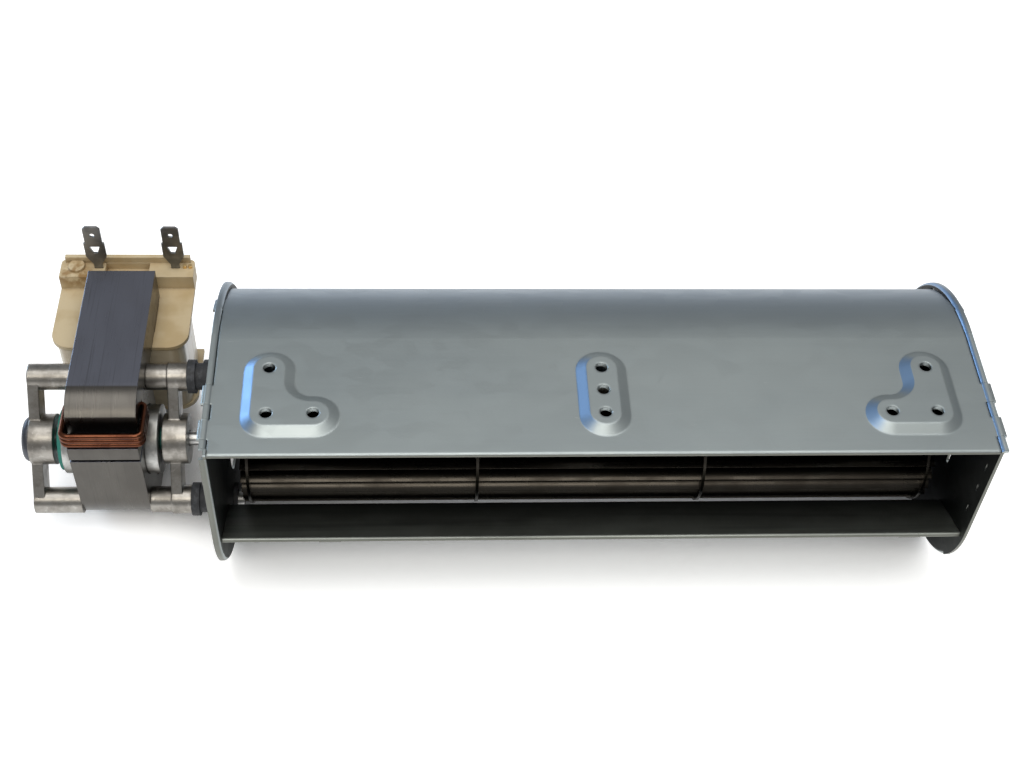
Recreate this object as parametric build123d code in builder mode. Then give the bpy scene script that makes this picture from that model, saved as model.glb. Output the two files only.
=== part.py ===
from build123d import *
import os
from math import asin, atan2, cos, degrees, radians, sin, sqrt, tan

os.makedirs("parts", exist_ok=True)

# Cross flow fan with a skeleton shaded-pole motor.
# Frame: X runs along the impeller from the motor to the far end, -Y is the way the air leaves,
# +Z is up. The origin is the centre of the mounting pads, on their seating plane.
# Housing sections are drawn on Plane.YZ, where the local x is Y and the local y is Z. Motor and
# impeller sections are drawn on axis_plane(x), with the same directions from the impeller axis.

# ---------------------------------------------------------------- driving dimensions (mm)
duct_length = 252.0        # between the inner faces of the end plates
sheet_t = 0.8              # housing sheets
plate_t = 1.0              # end plates
pad_rise = 2.0             # pads above the sheet
outlet_height = 50.5       # top face of the upper sheet to the underside of the lower one
pad_to_outlet = 25.2       # pad centre to the outlet plane
seat_gap = 0.05            # clearance of parts that seat in one another

wheel_r = 22.5             # impeller
wheel_gap = 4.3            # blade ends to the end plates
blade_end = 2.6            # blade ends beyond the middle of the end discs
segment_count = 3
blade_count = 26
blade_t = 0.45
blade_root_r = 17.4
blade_arc_r = 5.5
blade_turn = 58.0
disc_t = 1.0
disc_rim = 0.7             # disc edge beyond the blade tips
axis_setback = 49.5        # outlet plane to the impeller axis
axis_drop = 52.5           # top of the sheet to the impeller axis

scroll_r = 55.0            # outer face of the scroll
scroll_turn = 65.0
lip_drop = 15.6            # outer face of the scroll's tail, below the axis
lip_gap = 2.8              # running gap of the scroll lip
lip_flange = 6.0
lip_bend_r = 1.2
hem_length = 6.0
hem_gap = 0.2
tongue_gap = 2.6           # running gap of the tongue
tongue_drop = 6.0          # tongue edge below the axis
tongue_flange = 9.0
tongue_bend_r = 2.0
lower_setback = 2.4        # lower sheet's front edge behind the outlet plane
lug_width = 7.5
lug_drop = 1.0
lug_insets = (36.0, 17.0)  # from the motor side and the far end plate

pad_hole_r = 2.0
pad_hole_rim = 0.9         # depth of the rolled rim under each pad hole
pad_row = 19.0             # between the front and back holes
pad_inset = 17.7           # outer holes, from the end plates
pad_pitch = 14.9           # between the front holes of a corner pad
pad_land = 5.0             # flat land around the hole centres
pad_corner_r = 4.9
pad_slope = 3.4            # width of the sloping side
pad_web_r = 9.0            # inside corner of the corner pads

tab_width = 8.0
tab_reach = 2.4            # tab end beyond the end plate
tab_gap = 0.15             # slot round a tab
tab_curve_room = 0.1       # a tab from a curved sheet is this much higher, each way
flat_tab_places = (10.5, 25.0)        # behind the outlet plane
scroll_tab_angles = (70.0, 50.0)
tail_tab_angle = -10.0
flange_reach = 3.2         # end plate flange beyond its plate
plate_lift = 0.6           # flange above the sheet
plate_arc_r = 57.0
plate_arc_shift = 2.0
plate_arc_turn = 65.0
plate_depth = 32.5         # plate's lower edge below the axis
plate_toe_r = 40.5         # big round of the lower front corner
plate_bend_r = 0.7
toe_clear = 35.0           # turn of the toe without a flange
corner_relief = 2.5        # gap in the motor side's flange at the upper front corner
slit_places = ((4.7, 14.2), (4.8, 25.1), (5.4, 37.3))     # behind the outlet, below the sheet
slit_size = (0.8, 3.2)
side_slot_place = (30.0, 38.0)
side_slot_size = (2.0, 11.0)

shaft_r = 2.5              # motor shaft
stub_r = 2.0               # far-end journal
running_gap = 0.03
hub_r = 7.0
hub_length = 10.5
far_seat_r = 8.0           # rubber seat in the far plate
far_bearing_r = 4.0
far_bearing_length = 7.0
bush_flange_r = 9.6
bush_flange_t = 1.2
spigot_r = 5.0             # hub spigots through the end discs
far_hub_length = 5.0
set_screw_r = 1.5
disc_ring = 2.2            # web of the middle discs inside the blades
slot_gap = 0.05            # round a blade in its disc
journal_end = 1.5          # journal beyond its bearing
shaft_hole_r = 11.0        # hole for the motor shaft in the motor-side plate

stack_t = 24.0             # stator
stack_standoff = 28.5      # end plate to the stack
stack_half = 30.5
pole_half = 17.5           # pole block, front and back of the shaft
arm_t = 13.0
arm_reach = 53.5           # end of the arms behind the shaft
air_gap = 0.4
rotor_r = 12.2
slit_height = 9.4
slit_t = 1.3
slit_bridge = 0.5          # iron left between the slit and the bore
notch_depth = 5.7
notch_low = 15.5
notch_high = 26.0
ring_wire_r = 1.05
ring_strands = 3
ring_back = -1.6           # rear strand of the upper shading ring, from the shaft
post_y = 13.3              # upper post from the shaft (the lower one is opposite)
post_z = 18.2
bolt_r = 2.0
core_mid = 42.5            # coil core behind the shaft
core_width = 14.0
core_key = 5.0             # depth of the core's dovetail in each arm
core_key_taper = 1.2

bobbin_wall = 1.2
bobbin_flange_t = 1.6
bobbin_side = 12.4         # flange beyond the stack
bobbin_front = 14.6        # flange in front of the core's middle
bobbin_back = 24.0         # flange behind the core's middle
bobbin_corner_r = 7.0
winding_front = 5.8        # build-up of the winding, front and back
winding_side = 9.0
winding_corner_r = 5.0
bobbin_fit = 0.2           # bobbin to the arms
tape_t = 0.35
block_height = 6.0
block_front = 15.0         # terminal block, from the core's middle
block_wall_t = 1.6
block_wall_rise = 2.7
block_recess = (16.0, 4.4, 3.0)
block_boss_r = 3.0
block_boss_height = 1.2
block_boss_place = -18.5   # from the middle of the stack
tab_blade_width = 6.3
tab_blade_t = 0.8
tab_blade_length = 8.0
terminal_places = (-10.4, 17.6)
terminal_height = 20.5
terminal_setback = 20.0    # from the core's middle
terminal_root = 4.0        # depth in the block
terminal_neck = 3.0
terminal_foot = 2.0
terminal_slope = 4.0
terminal_shoulder = 7.5
terminal_tip = 1.0
terminal_hole_r = 0.9
pin_r = 0.7
pin_height = 1.2
pin_places = (21.0, 23.0)

bracket_t = 3.8
bracket_hub_length = 8.6
hub_clear = 1.0            # rotor to the inner bracket's hub
bracket_hub_r = 9.0
bracket_arm_width = 8.5
boss_r = 4.7
inner_boss_r = 5.2         # plate side of the inner bracket
inner_boss_end = 3.2       # beyond the inner bracket's arms
inner_bracket_gap = 7.5    # stack to the arms of the inner bracket
outer_bracket_gap = 13.0
ball_r = 5.0               # bearing balls
ball_length = 6.0
ring_length = 4.5          # rotor end rings
slot_count = 14
slot_r = 1.1
grommet_r = 6.0
grommet_neck_r = 4.0
grommet_flange_t = 1.3
grommet_groove = 1.2
head_r = 3.4
head_height = 2.2
thread_gap = 1.0           # between the two screws in a boss
cap_r = 8.0
cap_height = 2.6
cap_t = 0.5
shaft_overhang = 0.9       # shaft beyond the outer bracket
washer_r = 11.0
washer_t = 1.5
collar_r = 4.0
running_face = 0.3         # washers to the bracket hubs
cage_bore_r = 5.5

# ---------------------------------------------------------------- derived places
front_y = -pad_to_outlet
sheet_top = -pad_rise
axis_y = front_y + axis_setback
axis_z = sheet_top - axis_drop
lower_z = sheet_top - outlet_height
half_duct = duct_length / 2
wheel_length = duct_length - 2 * wheel_gap
half_wheel = wheel_length / 2
segment_length = (wheel_length - 2 * blade_end) / segment_count
lug_places = (lug_insets[0] - half_duct, half_duct - lug_insets[1])
pad_outer_x = half_duct - pad_inset
pad_inner_x = pad_outer_x - pad_pitch
plate_outer_x = half_duct + plate_t
stack_x = -plate_outer_x - stack_standoff - stack_t      # outer face of the stack
stack_inner_x = stack_x + stack_t
stack_mid_x = stack_x + stack_t / 2
bore_r = rotor_r + air_gap


def axis_plane(x):
    """Section plane at x with its origin on the impeller axis."""
    return Plane(origin=(x, axis_y, axis_z), x_dir=(0, 1, 0), z_dir=(1, 0, 0))


def arc_point(centre, radius, angle):
    return (centre[0] + radius * cos(radians(angle)), centre[1] + radius * sin(radians(angle)))


def save(part, name):
    part.label = name
    export_step(part, f"parts/{name}.step")


# ---------------------------------------------------------------- upper housing sheet
scroll_centre = (axis_y, sheet_top - scroll_r)
scroll_end = 90 - scroll_turn
tail_z = axis_z - lip_drop
tail_r = (scroll_centre[1] + scroll_r * sin(radians(scroll_end)) - tail_z) / (
    1 + sin(radians(scroll_end))
)
tail_centre = arc_point(scroll_centre, scroll_r - tail_r, scroll_end)
lip_y = axis_y + sqrt((wheel_r + lip_gap) ** 2 - (lip_drop - sheet_t) ** 2)
hem_r = sheet_t + hem_gap / 2

with BuildSketch() as upper_section:
    with BuildLine():
        hem = Line(
            (front_y + hem_length, sheet_top - 2 * hem_r), (front_y + hem_r, sheet_top - 2 * hem_r)
        )
        nose = CenterArc((front_y + hem_r, sheet_top - hem_r), hem_r, -90, -180)
        flat = Line(nose @ 1, (scroll_centre[0], sheet_top))
        scroll = CenterArc(scroll_centre, scroll_r, 90, -scroll_turn)
        tail = CenterArc(tail_centre, tail_r, scroll_end, -scroll_end - 90)
        run = Line(tail @ 1, (lip_y + lip_bend_r + sheet_t, tail_z))
        bend = CenterArc((lip_y + lip_bend_r + sheet_t, tail_z - lip_bend_r), lip_bend_r, 90, 90)
        Line(bend @ 1, bend @ 1 - (0, lip_flange))
        offset(amount=sheet_t, side=Side.RIGHT)
    make_face()


# Side tabs: a place on the sheet's middle line and the turn of the sheet there.
tab_depth = sheet_t + 2 * tab_curve_room
flat_tabs = [((front_y + place, sheet_top - sheet_t / 2), 0) for place in flat_tab_places]
curved_tabs = [
    (arc_point(scroll_centre, scroll_r - sheet_t / 2, angle), angle - 90)
    for angle in scroll_tab_angles
]
curved_tabs.append(
    (arc_point(tail_centre, tail_r - sheet_t / 2, tail_tab_angle), tail_tab_angle - 90)
)


def tab_windows(tabs, gap=0.0, rise=0.0):
    """Rectangles across a sheet's section at its tabs, with a gap round them and a rise above."""
    with BuildSketch(mode=Mode.PRIVATE) as windows:
        for (y, z), turn in tabs:
            with Locations(Location((y, z, 0), (0, 0, turn))):
                Rectangle(tab_width + 2 * gap, tab_depth + 2 * gap)
                with Locations((0, rise / 2)):
                    Rectangle(tab_width + 2 * gap, tab_depth + 2 * gap + rise)
    return windows.sketch


pad_z = sheet_top + pad_rise
pad_half = pad_row / 2


def pad_outline(x_outer, x_inner, y_low, y_high):
    """Outline of a corner pad's flat land: an L round its three holes."""
    side = 1 if x_outer > x_inner else -1
    arm = pad_land
    with BuildSketch(mode=Mode.PRIVATE) as outline:
        with BuildLine():
            Polyline(
                (x_outer + side * arm, y_low - arm),
                (x_inner - side * arm, y_low - arm),
                (x_inner - side * arm, y_low + arm),
                (x_outer - side * arm, y_low + arm),
                (x_outer - side * arm, y_high + arm),
                (x_outer + side * arm, y_high + arm),
                close=True,
            )
        make_face()
        inside = (x_outer - side * arm, y_low + arm)
        fillet(outline.vertices().sort_by_distance(inside)[1:], pad_corner_r)
        fillet(outline.vertices().sort_by_distance(inside)[0], pad_web_r)
    return outline.sketch


def oblong_outline(x, y_low, y_high):
    """Outline of the middle pad's flat land."""
    with BuildSketch(mode=Mode.PRIVATE) as outline:
        with Locations((x, (y_low + y_high) / 2)):
            SlotOverall(y_high - y_low + 2 * pad_land, 2 * pad_land, rotation=90)
    return outline.sketch


pad_outlines = [
    pad_outline(-pad_outer_x, -pad_inner_x, -pad_half, pad_half),
    oblong_outline(0, -pad_half, pad_half),
    pad_outline(pad_outer_x, pad_inner_x, -pad_half, pad_half),
]
pad_holes = [(side * x, y) for side in (-1, 1) for x, y in (
    (pad_outer_x, -pad_half), (pad_outer_x, pad_half), (pad_inner_x, -pad_half))]
pad_holes += [(0, -pad_half), (0, 0), (0, pad_half)]
pad_taper = degrees(asin(pad_slope / sqrt(pad_slope**2 + pad_rise**2)))


def raised_pad(outline, top):
    """Solid under a pressed pad: the land, growing downwards to the sheet."""
    with BuildPart() as solid:
        with BuildSketch(Plane.XY.offset(top)):
            add(outline)
        extrude(amount=-pad_rise, taper=-pad_taper)
    return solid.part


pad_solids = [raised_pad(outline, pad_z) for outline in pad_outlines]
pad_hollows = [raised_pad(outline, pad_z - sheet_t) for outline in pad_outlines]

upper_tabs = upper_section.sketch & tab_windows(flat_tabs + curved_tabs)

with BuildPart() as upper_housing_sheet:
    with BuildSketch(Plane.YZ.offset(-half_duct)):
        add(upper_section.sketch)
    extrude(amount=duct_length)
    for side in (-1, 1):
        with BuildSketch(Plane.YZ.offset(side * half_duct)):
            add(upper_tabs)
        extrude(amount=side * (plate_t + tab_reach))
    add(pad_solids)
    add(pad_hollows, mode=Mode.SUBTRACT)
    with BuildSketch(Plane.XY.offset(pad_z - sheet_t)):
        with Locations(*pad_holes):
            Circle(pad_hole_r + sheet_t / 2)
    extrude(amount=-pad_hole_rim)
    with BuildSketch(Plane.XY.offset(pad_z)):
        with Locations(*pad_holes):
            Circle(pad_hole_r)
    extrude(amount=-pad_rise - 2 * sheet_t, mode=Mode.SUBTRACT)
upper_housing_sheet.part.label = "upper_housing_sheet"
export_step(upper_housing_sheet.part, "parts/upper_housing_sheet.step")

# ---------------------------------------------------------------- lower housing sheet
lower_front = front_y + lower_setback
tongue = Vector(axis_y - sqrt((wheel_r + tongue_gap) ** 2 - tongue_drop**2), axis_z - tongue_drop)
lower_nose = Vector(lower_front + hem_r, lower_z + hem_r)
fall = tongue - lower_nose
lower_slope = degrees(atan2(-fall.Y, fall.X) + asin(hem_r / fall.length))

tongue_bend = tongue - Vector(tongue_bend_r, tongue_bend_r * tan(radians(90 - lower_slope) / 2))

with BuildSketch() as lower_section:
    with BuildLine():
        nose = CenterArc(lower_nose, hem_r, -90 - lower_slope, -180)
        Line(nose @ 0 + arc_point((0, 0), hem_length, -lower_slope), nose @ 0)
        bend = CenterArc(tongue_bend, tongue_bend_r, 90 - lower_slope, lower_slope - 90)
        Line(nose @ 1, bend @ 0)
        Line(bend @ 1, bend @ 1 - (0, tongue_flange))
        offset(amount=sheet_t, side=Side.RIGHT)
    make_face()

lower_middle = (tongue + lower_nose + arc_point((0, 0), hem_r, 90 - lower_slope)) / 2
lower_middle -= arc_point((0, 0), sheet_t / 2, 90 - lower_slope)
lower_tabs = [((lower_middle.X, lower_middle.Y), -lower_slope)]

with BuildPart() as lower_housing_sheet:
    with BuildSketch(Plane.YZ.offset(-half_duct)):
        add(lower_section.sketch)
    extrude(amount=duct_length)
    for side in (-1, 1):
        with BuildSketch(Plane.YZ.offset(side * half_duct)):
            add(lower_section.sketch & tab_windows(lower_tabs))
        extrude(amount=side * (plate_t + tab_reach))
    with Locations(*[(x, lower_nose.X + sheet_t, lower_z) for x in lug_places]):
        Box(lug_width, 2 * sheet_t, 2 * lug_drop)
lower_housing_sheet.part.label = "lower_housing_sheet"
export_step(lower_housing_sheet.part, "parts/lower_housing_sheet.step")

# ---------------------------------------------------------------- end plates
plate_top = sheet_top + plate_lift
plate_bottom = axis_z - plate_depth
plate_arc_centre = (axis_y + plate_arc_shift, plate_top - plate_arc_r)
plate_arc_end = 90 - plate_arc_turn
heel_r = (plate_arc_centre[1] + plate_arc_r * sin(radians(plate_arc_end)) - plate_bottom) / (
    1 + sin(radians(plate_arc_end))
)
heel_centre = arc_point(plate_arc_centre, plate_arc_r - heel_r, plate_arc_end)
toe_centre = (front_y + plate_toe_r, plate_bottom + plate_toe_r)

bend_width = plate_t + plate_bend_r


def plate_edge(toe_turn, top_end):
    """Edge of an end plate from a point on its toe, under and behind the scroll, to its top."""
    with BuildLine(mode=Mode.PRIVATE) as edge:
        CenterArc(toe_centre, plate_toe_r, 180 + toe_turn, 90 - toe_turn)
        Line((toe_centre[0], plate_bottom), (heel_centre[0], plate_bottom))
        CenterArc(heel_centre, heel_r, -90, 90 + plate_arc_end)
        CenterArc(plate_arc_centre, plate_arc_r, plate_arc_end, plate_arc_turn)
        Line((plate_arc_centre[0], plate_top), (top_end, plate_top))
    return edge.line


def bent_plate(bent_edge, side):
    """End plate whose flange is bent outwards along the given edge."""
    face = Plane.YZ.offset(side * half_duct)
    with BuildSketch(mode=Mode.PRIVATE) as bend_strip:
        with BuildLine():
            add(bent_edge)
            offset(amount=bend_width, side=Side.LEFT)
        make_face()
    with BuildPart(mode=Mode.PRIVATE) as plate:
        with BuildSketch(face):
            with BuildLine():
                add(plate_edge(0, front_y))
                Line((front_y, plate_top), (front_y, toe_centre[1]))
            make_face()
            add(bend_strip.sketch, mode=Mode.SUBTRACT)
        extrude(amount=side * plate_t)
        path = face * bent_edge
        start = path.wires()[0]
        with BuildSketch(Plane(start @ 0, x_dir=(side, 0, 0), z_dir=start % 0)):
            with BuildLine():
                outer = CenterArc((bend_width, -side * bend_width), bend_width, 180, -side * 90)
                Polyline(
                    outer @ 1,
                    (plate_t + flange_reach, 0),
                    (plate_t + flange_reach, -side * plate_t),
                    (bend_width, -side * plate_t),
                )
                inner = CenterArc((bend_width, -side * bend_width), plate_bend_r, 180, -side * 90)
                Line(outer @ 0, inner @ 0)
            make_face()
        sweep(path=start)
    return plate.part


with BuildLine() as motor_plate_bend:
    Line((front_y, plate_top - corner_relief), (front_y, toe_centre[1]))
    add(plate_edge(0, front_y + corner_relief))

slot_windows = tab_windows(curved_tabs + lower_tabs, tab_gap)
slot_windows += tab_windows(flat_tabs, tab_gap, 2 * plate_lift + plate_t)


with BuildPart() as motor_end_plate:
    add(bent_plate(motor_plate_bend.line, -1))
    with BuildSketch(Plane.YZ.offset(-half_duct)):
        add(slot_windows)
    extrude(amount=-plate_t - flange_reach, mode=Mode.SUBTRACT)
    with BuildSketch(axis_plane(-half_duct)):
        Circle(shaft_hole_r)
        with Locations((post_y, post_z), (-post_y, -post_z)):
            Circle(grommet_neck_r + seat_gap)
    extrude(amount=-plate_t, mode=Mode.SUBTRACT)
motor_end_plate.part.label = "motor_end_plate"
export_step(motor_end_plate.part, "parts/motor_end_plate.step")

with BuildPart() as far_end_plate:
    add(bent_plate(plate_edge(toe_clear, front_y), 1))
    with BuildSketch(Plane.YZ.offset(half_duct)):
        add(slot_windows)
        with Locations(*[(front_y + back, sheet_top - drop) for back, drop in slit_places]):
            Rectangle(*slit_size)
        with Locations((front_y + side_slot_place[0], sheet_top - side_slot_place[1])):
            SlotOverall(side_slot_size[1], side_slot_size[0], rotation=90)
    extrude(amount=plate_t + flange_reach, mode=Mode.SUBTRACT)
    with BuildSketch(axis_plane(half_duct)):
        Circle(far_seat_r)
    extrude(amount=plate_t, mode=Mode.SUBTRACT)
far_end_plate.part.label = "far_end_plate"
export_step(far_end_plate.part, "parts/far_end_plate.step")

# ---------------------------------------------------------------- far bearing
far_bearing_x = half_duct + plate_t / 2

with BuildPart() as far_bearing_bush:
    with BuildSketch(axis_plane(half_duct - bush_flange_t)):
        Circle(bush_flange_r)
    extrude(amount=2 * bush_flange_t + plate_t)
    with BuildSketch(axis_plane(half_duct)):
        Circle(bush_flange_r)
        Circle(far_seat_r - seat_gap, mode=Mode.SUBTRACT)
    extrude(amount=plate_t, mode=Mode.SUBTRACT)
    with BuildSketch(axis_plane(half_duct - bush_flange_t)):
        Circle(far_bearing_r + seat_gap)
    extrude(amount=2 * bush_flange_t + plate_t, mode=Mode.SUBTRACT)
    fillet(far_bearing_bush.edges().filter_by(GeomType.CIRCLE).filter_by(
        lambda edge: edge.radius > far_seat_r), bush_flange_t / 4)
far_bearing_bush.part.label = "far_bearing_bush"
export_step(far_bearing_bush.part, "parts/far_bearing_bush.step")

with BuildPart() as far_bearing:
    with BuildSketch(axis_plane(far_bearing_x - far_bearing_length / 2)):
        Circle(far_bearing_r)
        Circle(stub_r + running_gap, mode=Mode.SUBTRACT)
    extrude(amount=far_bearing_length)
    chamfer(far_bearing.edges().filter_by(GeomType.CIRCLE).filter_by(
        lambda edge: edge.radius > stub_r + running_gap), seat_gap * 8)
far_bearing.part.label = "far_bearing"
export_step(far_bearing.part, "parts/far_bearing.step")

# ---------------------------------------------------------------- impeller
with BuildSketch() as blade_section:
    with BuildLine():
        CenterArc((blade_root_r, blade_arc_r), blade_arc_r, -90, blade_turn)
        offset(amount=blade_t, side=Side.RIGHT)
    make_face()

with BuildSketch() as blade_slots:
    with PolarLocations(0, blade_count):
        add(blade_section.sketch)
    offset(amount=slot_gap, kind=Kind.INTERSECTION)

with BuildPart() as impeller_blades:
    with BuildSketch(axis_plane(-half_wheel)):
        with PolarLocations(0, blade_count):
            add(blade_section.sketch)
    extrude(amount=wheel_length)
impeller_blades.part.label = "impeller_blades"
export_step(impeller_blades.part, "parts/impeller_blades.step")

disc_r = wheel_r + disc_rim
disc_places = [
    (index - segment_count / 2) * segment_length for index in range(segment_count + 1)
]

with BuildSketch() as slotted_disc:
    Circle(disc_r)
    add(blade_slots.sketch, mode=Mode.SUBTRACT)

with BuildPart() as motor_side_disc:
    with BuildSketch(axis_plane(disc_places[0] - disc_t / 2)):
        add(slotted_disc.sketch)
        Circle(spigot_r + seat_gap, mode=Mode.SUBTRACT)
    extrude(amount=disc_t)
motor_side_disc.part.label = "motor_side_disc"
export_step(motor_side_disc.part, "parts/motor_side_disc.step")

with BuildPart() as far_side_disc:
    with BuildSketch(axis_plane(disc_places[-1] - disc_t / 2)):
        add(slotted_disc.sketch)
        Circle(spigot_r + seat_gap, mode=Mode.SUBTRACT)
    extrude(amount=disc_t)
far_side_disc.part.label = "far_side_disc"
export_step(far_side_disc.part, "parts/far_side_disc.step")

with BuildPart() as middle_discs:
    for place in disc_places[1:-1]:
        with BuildSketch(axis_plane(place - disc_t / 2)):
            add(slotted_disc.sketch)
            Circle(blade_root_r - disc_ring, mode=Mode.SUBTRACT)
        extrude(amount=disc_t)
middle_discs.part.label = "middle_discs"
export_step(middle_discs.part, "parts/middle_discs.step")

drive_disc_face = disc_places[0] + disc_t / 2
screw_x = drive_disc_face + hub_length / 2

with BuildPart() as drive_hub:
    with BuildSketch(axis_plane(drive_disc_face)):
        Circle(hub_r)
    extrude(amount=hub_length)
    with BuildSketch(axis_plane(drive_disc_face)):
        Circle(spigot_r)
    extrude(amount=-disc_t - disc_t / 2)
    with BuildSketch(axis_plane(drive_disc_face - 2 * disc_t)):
        Circle(shaft_r + seat_gap)
    extrude(amount=hub_length + 2 * disc_t, mode=Mode.SUBTRACT)
    with BuildSketch(Plane.XY.offset(axis_z)):
        with Locations((screw_x, axis_y)):
            Circle(set_screw_r + seat_gap)
    extrude(amount=hub_r, mode=Mode.SUBTRACT)
drive_hub.part.label = "drive_hub"
export_step(drive_hub.part, "parts/drive_hub.step")

with BuildPart() as drive_hub_screw:
    with BuildSketch(Plane.XY.offset(axis_z + shaft_r)):
        with Locations((screw_x, axis_y)):
            Circle(set_screw_r)
    extrude(amount=hub_r - shaft_r)
    with BuildSketch(Plane.XY.offset(axis_z + hub_r)):
        with Locations((screw_x, axis_y)):
            RegularPolygon(set_screw_r / 2, 6)
    extrude(amount=-set_screw_r, mode=Mode.SUBTRACT)
drive_hub_screw.part.label = "drive_hub_screw"
export_step(drive_hub_screw.part, "parts/drive_hub_screw.step")

far_disc_face = disc_places[-1] - disc_t / 2
journal_tip = far_bearing_x + far_bearing_length / 2 + journal_end

with BuildPart() as far_hub:
    with BuildSketch(axis_plane(far_disc_face)):
        Circle(hub_r)
    extrude(amount=-far_hub_length)
    with BuildSketch(axis_plane(far_disc_face)):
        Circle(spigot_r)
    extrude(amount=disc_t + disc_t / 2)
    with BuildSketch(axis_plane(far_disc_face)):
        Circle(stub_r)
    extrude(amount=journal_tip - far_disc_face)
    chamfer(far_hub.edges().filter_by(GeomType.CIRCLE).sort_by(Axis.X)[-1], stub_r / 5)
far_hub.part.label = "far_hub"
export_step(far_hub.part, "parts/far_hub.step")

# ---------------------------------------------------------------- stator
arm_inner = stack_half - arm_t
core_front = core_mid - core_width / 2
core_back = core_mid + core_width / 2
ring_pitch = 2 * ring_wire_r + seat_gap
ring_front = ring_wire_r + seat_gap * 10 - pole_half
slot_height = ring_strands * ring_pitch + 2 * seat_gap
slot_width = 2 * ring_wire_r + 8 * seat_gap
slit_end = sqrt(bore_r**2 - (slit_height - slit_t / 2) ** 2) + slit_bridge

with BuildSketch() as core_outline:
    with BuildLine():
        Polyline(
            (core_front, arm_inner),
            (core_front - core_key_taper, arm_inner + core_key),
            (core_back + core_key_taper, arm_inner + core_key),
            (core_back, arm_inner),
            (core_back, -arm_inner),
            (core_back + core_key_taper, -arm_inner - core_key),
            (core_front - core_key_taper, -arm_inner - core_key),
            (core_front, -arm_inner),
            close=True,
        )
    make_face()

with BuildSketch() as core_seat:
    add(core_outline.sketch)
    offset(amount=seat_gap, kind=Kind.INTERSECTION)

with BuildSketch() as stator_outline:
    Rectangle(2 * pole_half, 2 * stack_half)
    fillet(stator_outline.vertices().group_by(Axis.X)[0], pole_half - seat_gap)
    with Locations((0, arm_inner), (0, -stack_half)):
        Rectangle(arm_reach, arm_t, align=(Align.MIN, Align.MIN))
    Circle(bore_r, mode=Mode.SUBTRACT)
    add(core_seat.sketch, mode=Mode.SUBTRACT)
    for side in (1, -1):
        with Locations((-side * (pole_half - notch_depth / 2), side * (notch_low + notch_high) / 2)):
            Rectangle(notch_depth, notch_high - notch_low, mode=Mode.SUBTRACT)
        with Locations((side * ring_back, side * (notch_low + slot_height / 2))):
            Rectangle(slot_width, slot_height, mode=Mode.SUBTRACT)
        with Locations((-side * (pole_half + slit_end) / 2, side * slit_height)):
            Rectangle(pole_half - slit_end, slit_t, mode=Mode.SUBTRACT)
        with Locations((side * post_y, side * post_z)):
            Circle(bolt_r + seat_gap, mode=Mode.SUBTRACT)

with BuildPart() as stator_stack:
    with BuildSketch(axis_plane(stack_x)):
        add(stator_outline.sketch)
    extrude(amount=stack_t)
stator_stack.part.label = "stator_stack"
export_step(stator_stack.part, "parts/stator_stack.step")

with BuildPart() as coil_core:
    with BuildSketch(axis_plane(stack_x)):
        add(core_outline.sketch)
    extrude(amount=stack_t)
coil_core.part.label = "coil_core"
export_step(coil_core.part, "parts/coil_core.step")

# ---------------------------------------------------------------- shading rings
ring_half = stack_t / 2 + air_gap + ring_wire_r


def shading_rings(side):
    """Closed wire loops round one half of a pole, side by side."""
    with BuildPart(mode=Mode.PRIVATE) as rings:
        for strand in range(ring_strands):
            level = axis_z + side * (notch_low + seat_gap + ring_wire_r + strand * ring_pitch)
            with BuildLine(Plane.XY.offset(level)) as loop:
                FilletPolyline(
                    (stack_mid_x - ring_half, axis_y + side * ring_front),
                    (stack_mid_x + ring_half, axis_y + side * ring_front),
                    (stack_mid_x + ring_half, axis_y + side * ring_back),
                    (stack_mid_x - ring_half, axis_y + side * ring_back),
                    radius=2 * ring_wire_r,
                    close=True,
                )
            with BuildSketch(Plane(loop.line @ 0, z_dir=loop.line % 0)):
                Circle(ring_wire_r)
            sweep(path=loop.wires()[0])
    return rings.part


with BuildPart() as upper_shading_rings:
    add(shading_rings(1))
upper_shading_rings.part.label = "upper_shading_rings"
export_step(upper_shading_rings.part, "parts/upper_shading_rings.step")

with BuildPart() as lower_shading_rings:
    add(shading_rings(-1))
lower_shading_rings.part.label = "lower_shading_rings"
export_step(lower_shading_rings.part, "parts/lower_shading_rings.step")

# ---------------------------------------------------------------- coil
coil_y = axis_y + core_mid
bobbin_half = arm_inner - bobbin_fit
flange_width = stack_t + 2 * bobbin_side
tube_x = stack_t + 2 * (seat_gap + bobbin_wall)
tube_y = core_width + 2 * (seat_gap + bobbin_wall)
block_top = axis_z + bobbin_half + block_height
block_back = coil_y + bobbin_back
terminal_y = coil_y + terminal_setback

lower_flange_z = axis_z - bobbin_half
upper_flange_z = axis_z + bobbin_half - bobbin_flange_t

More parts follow.
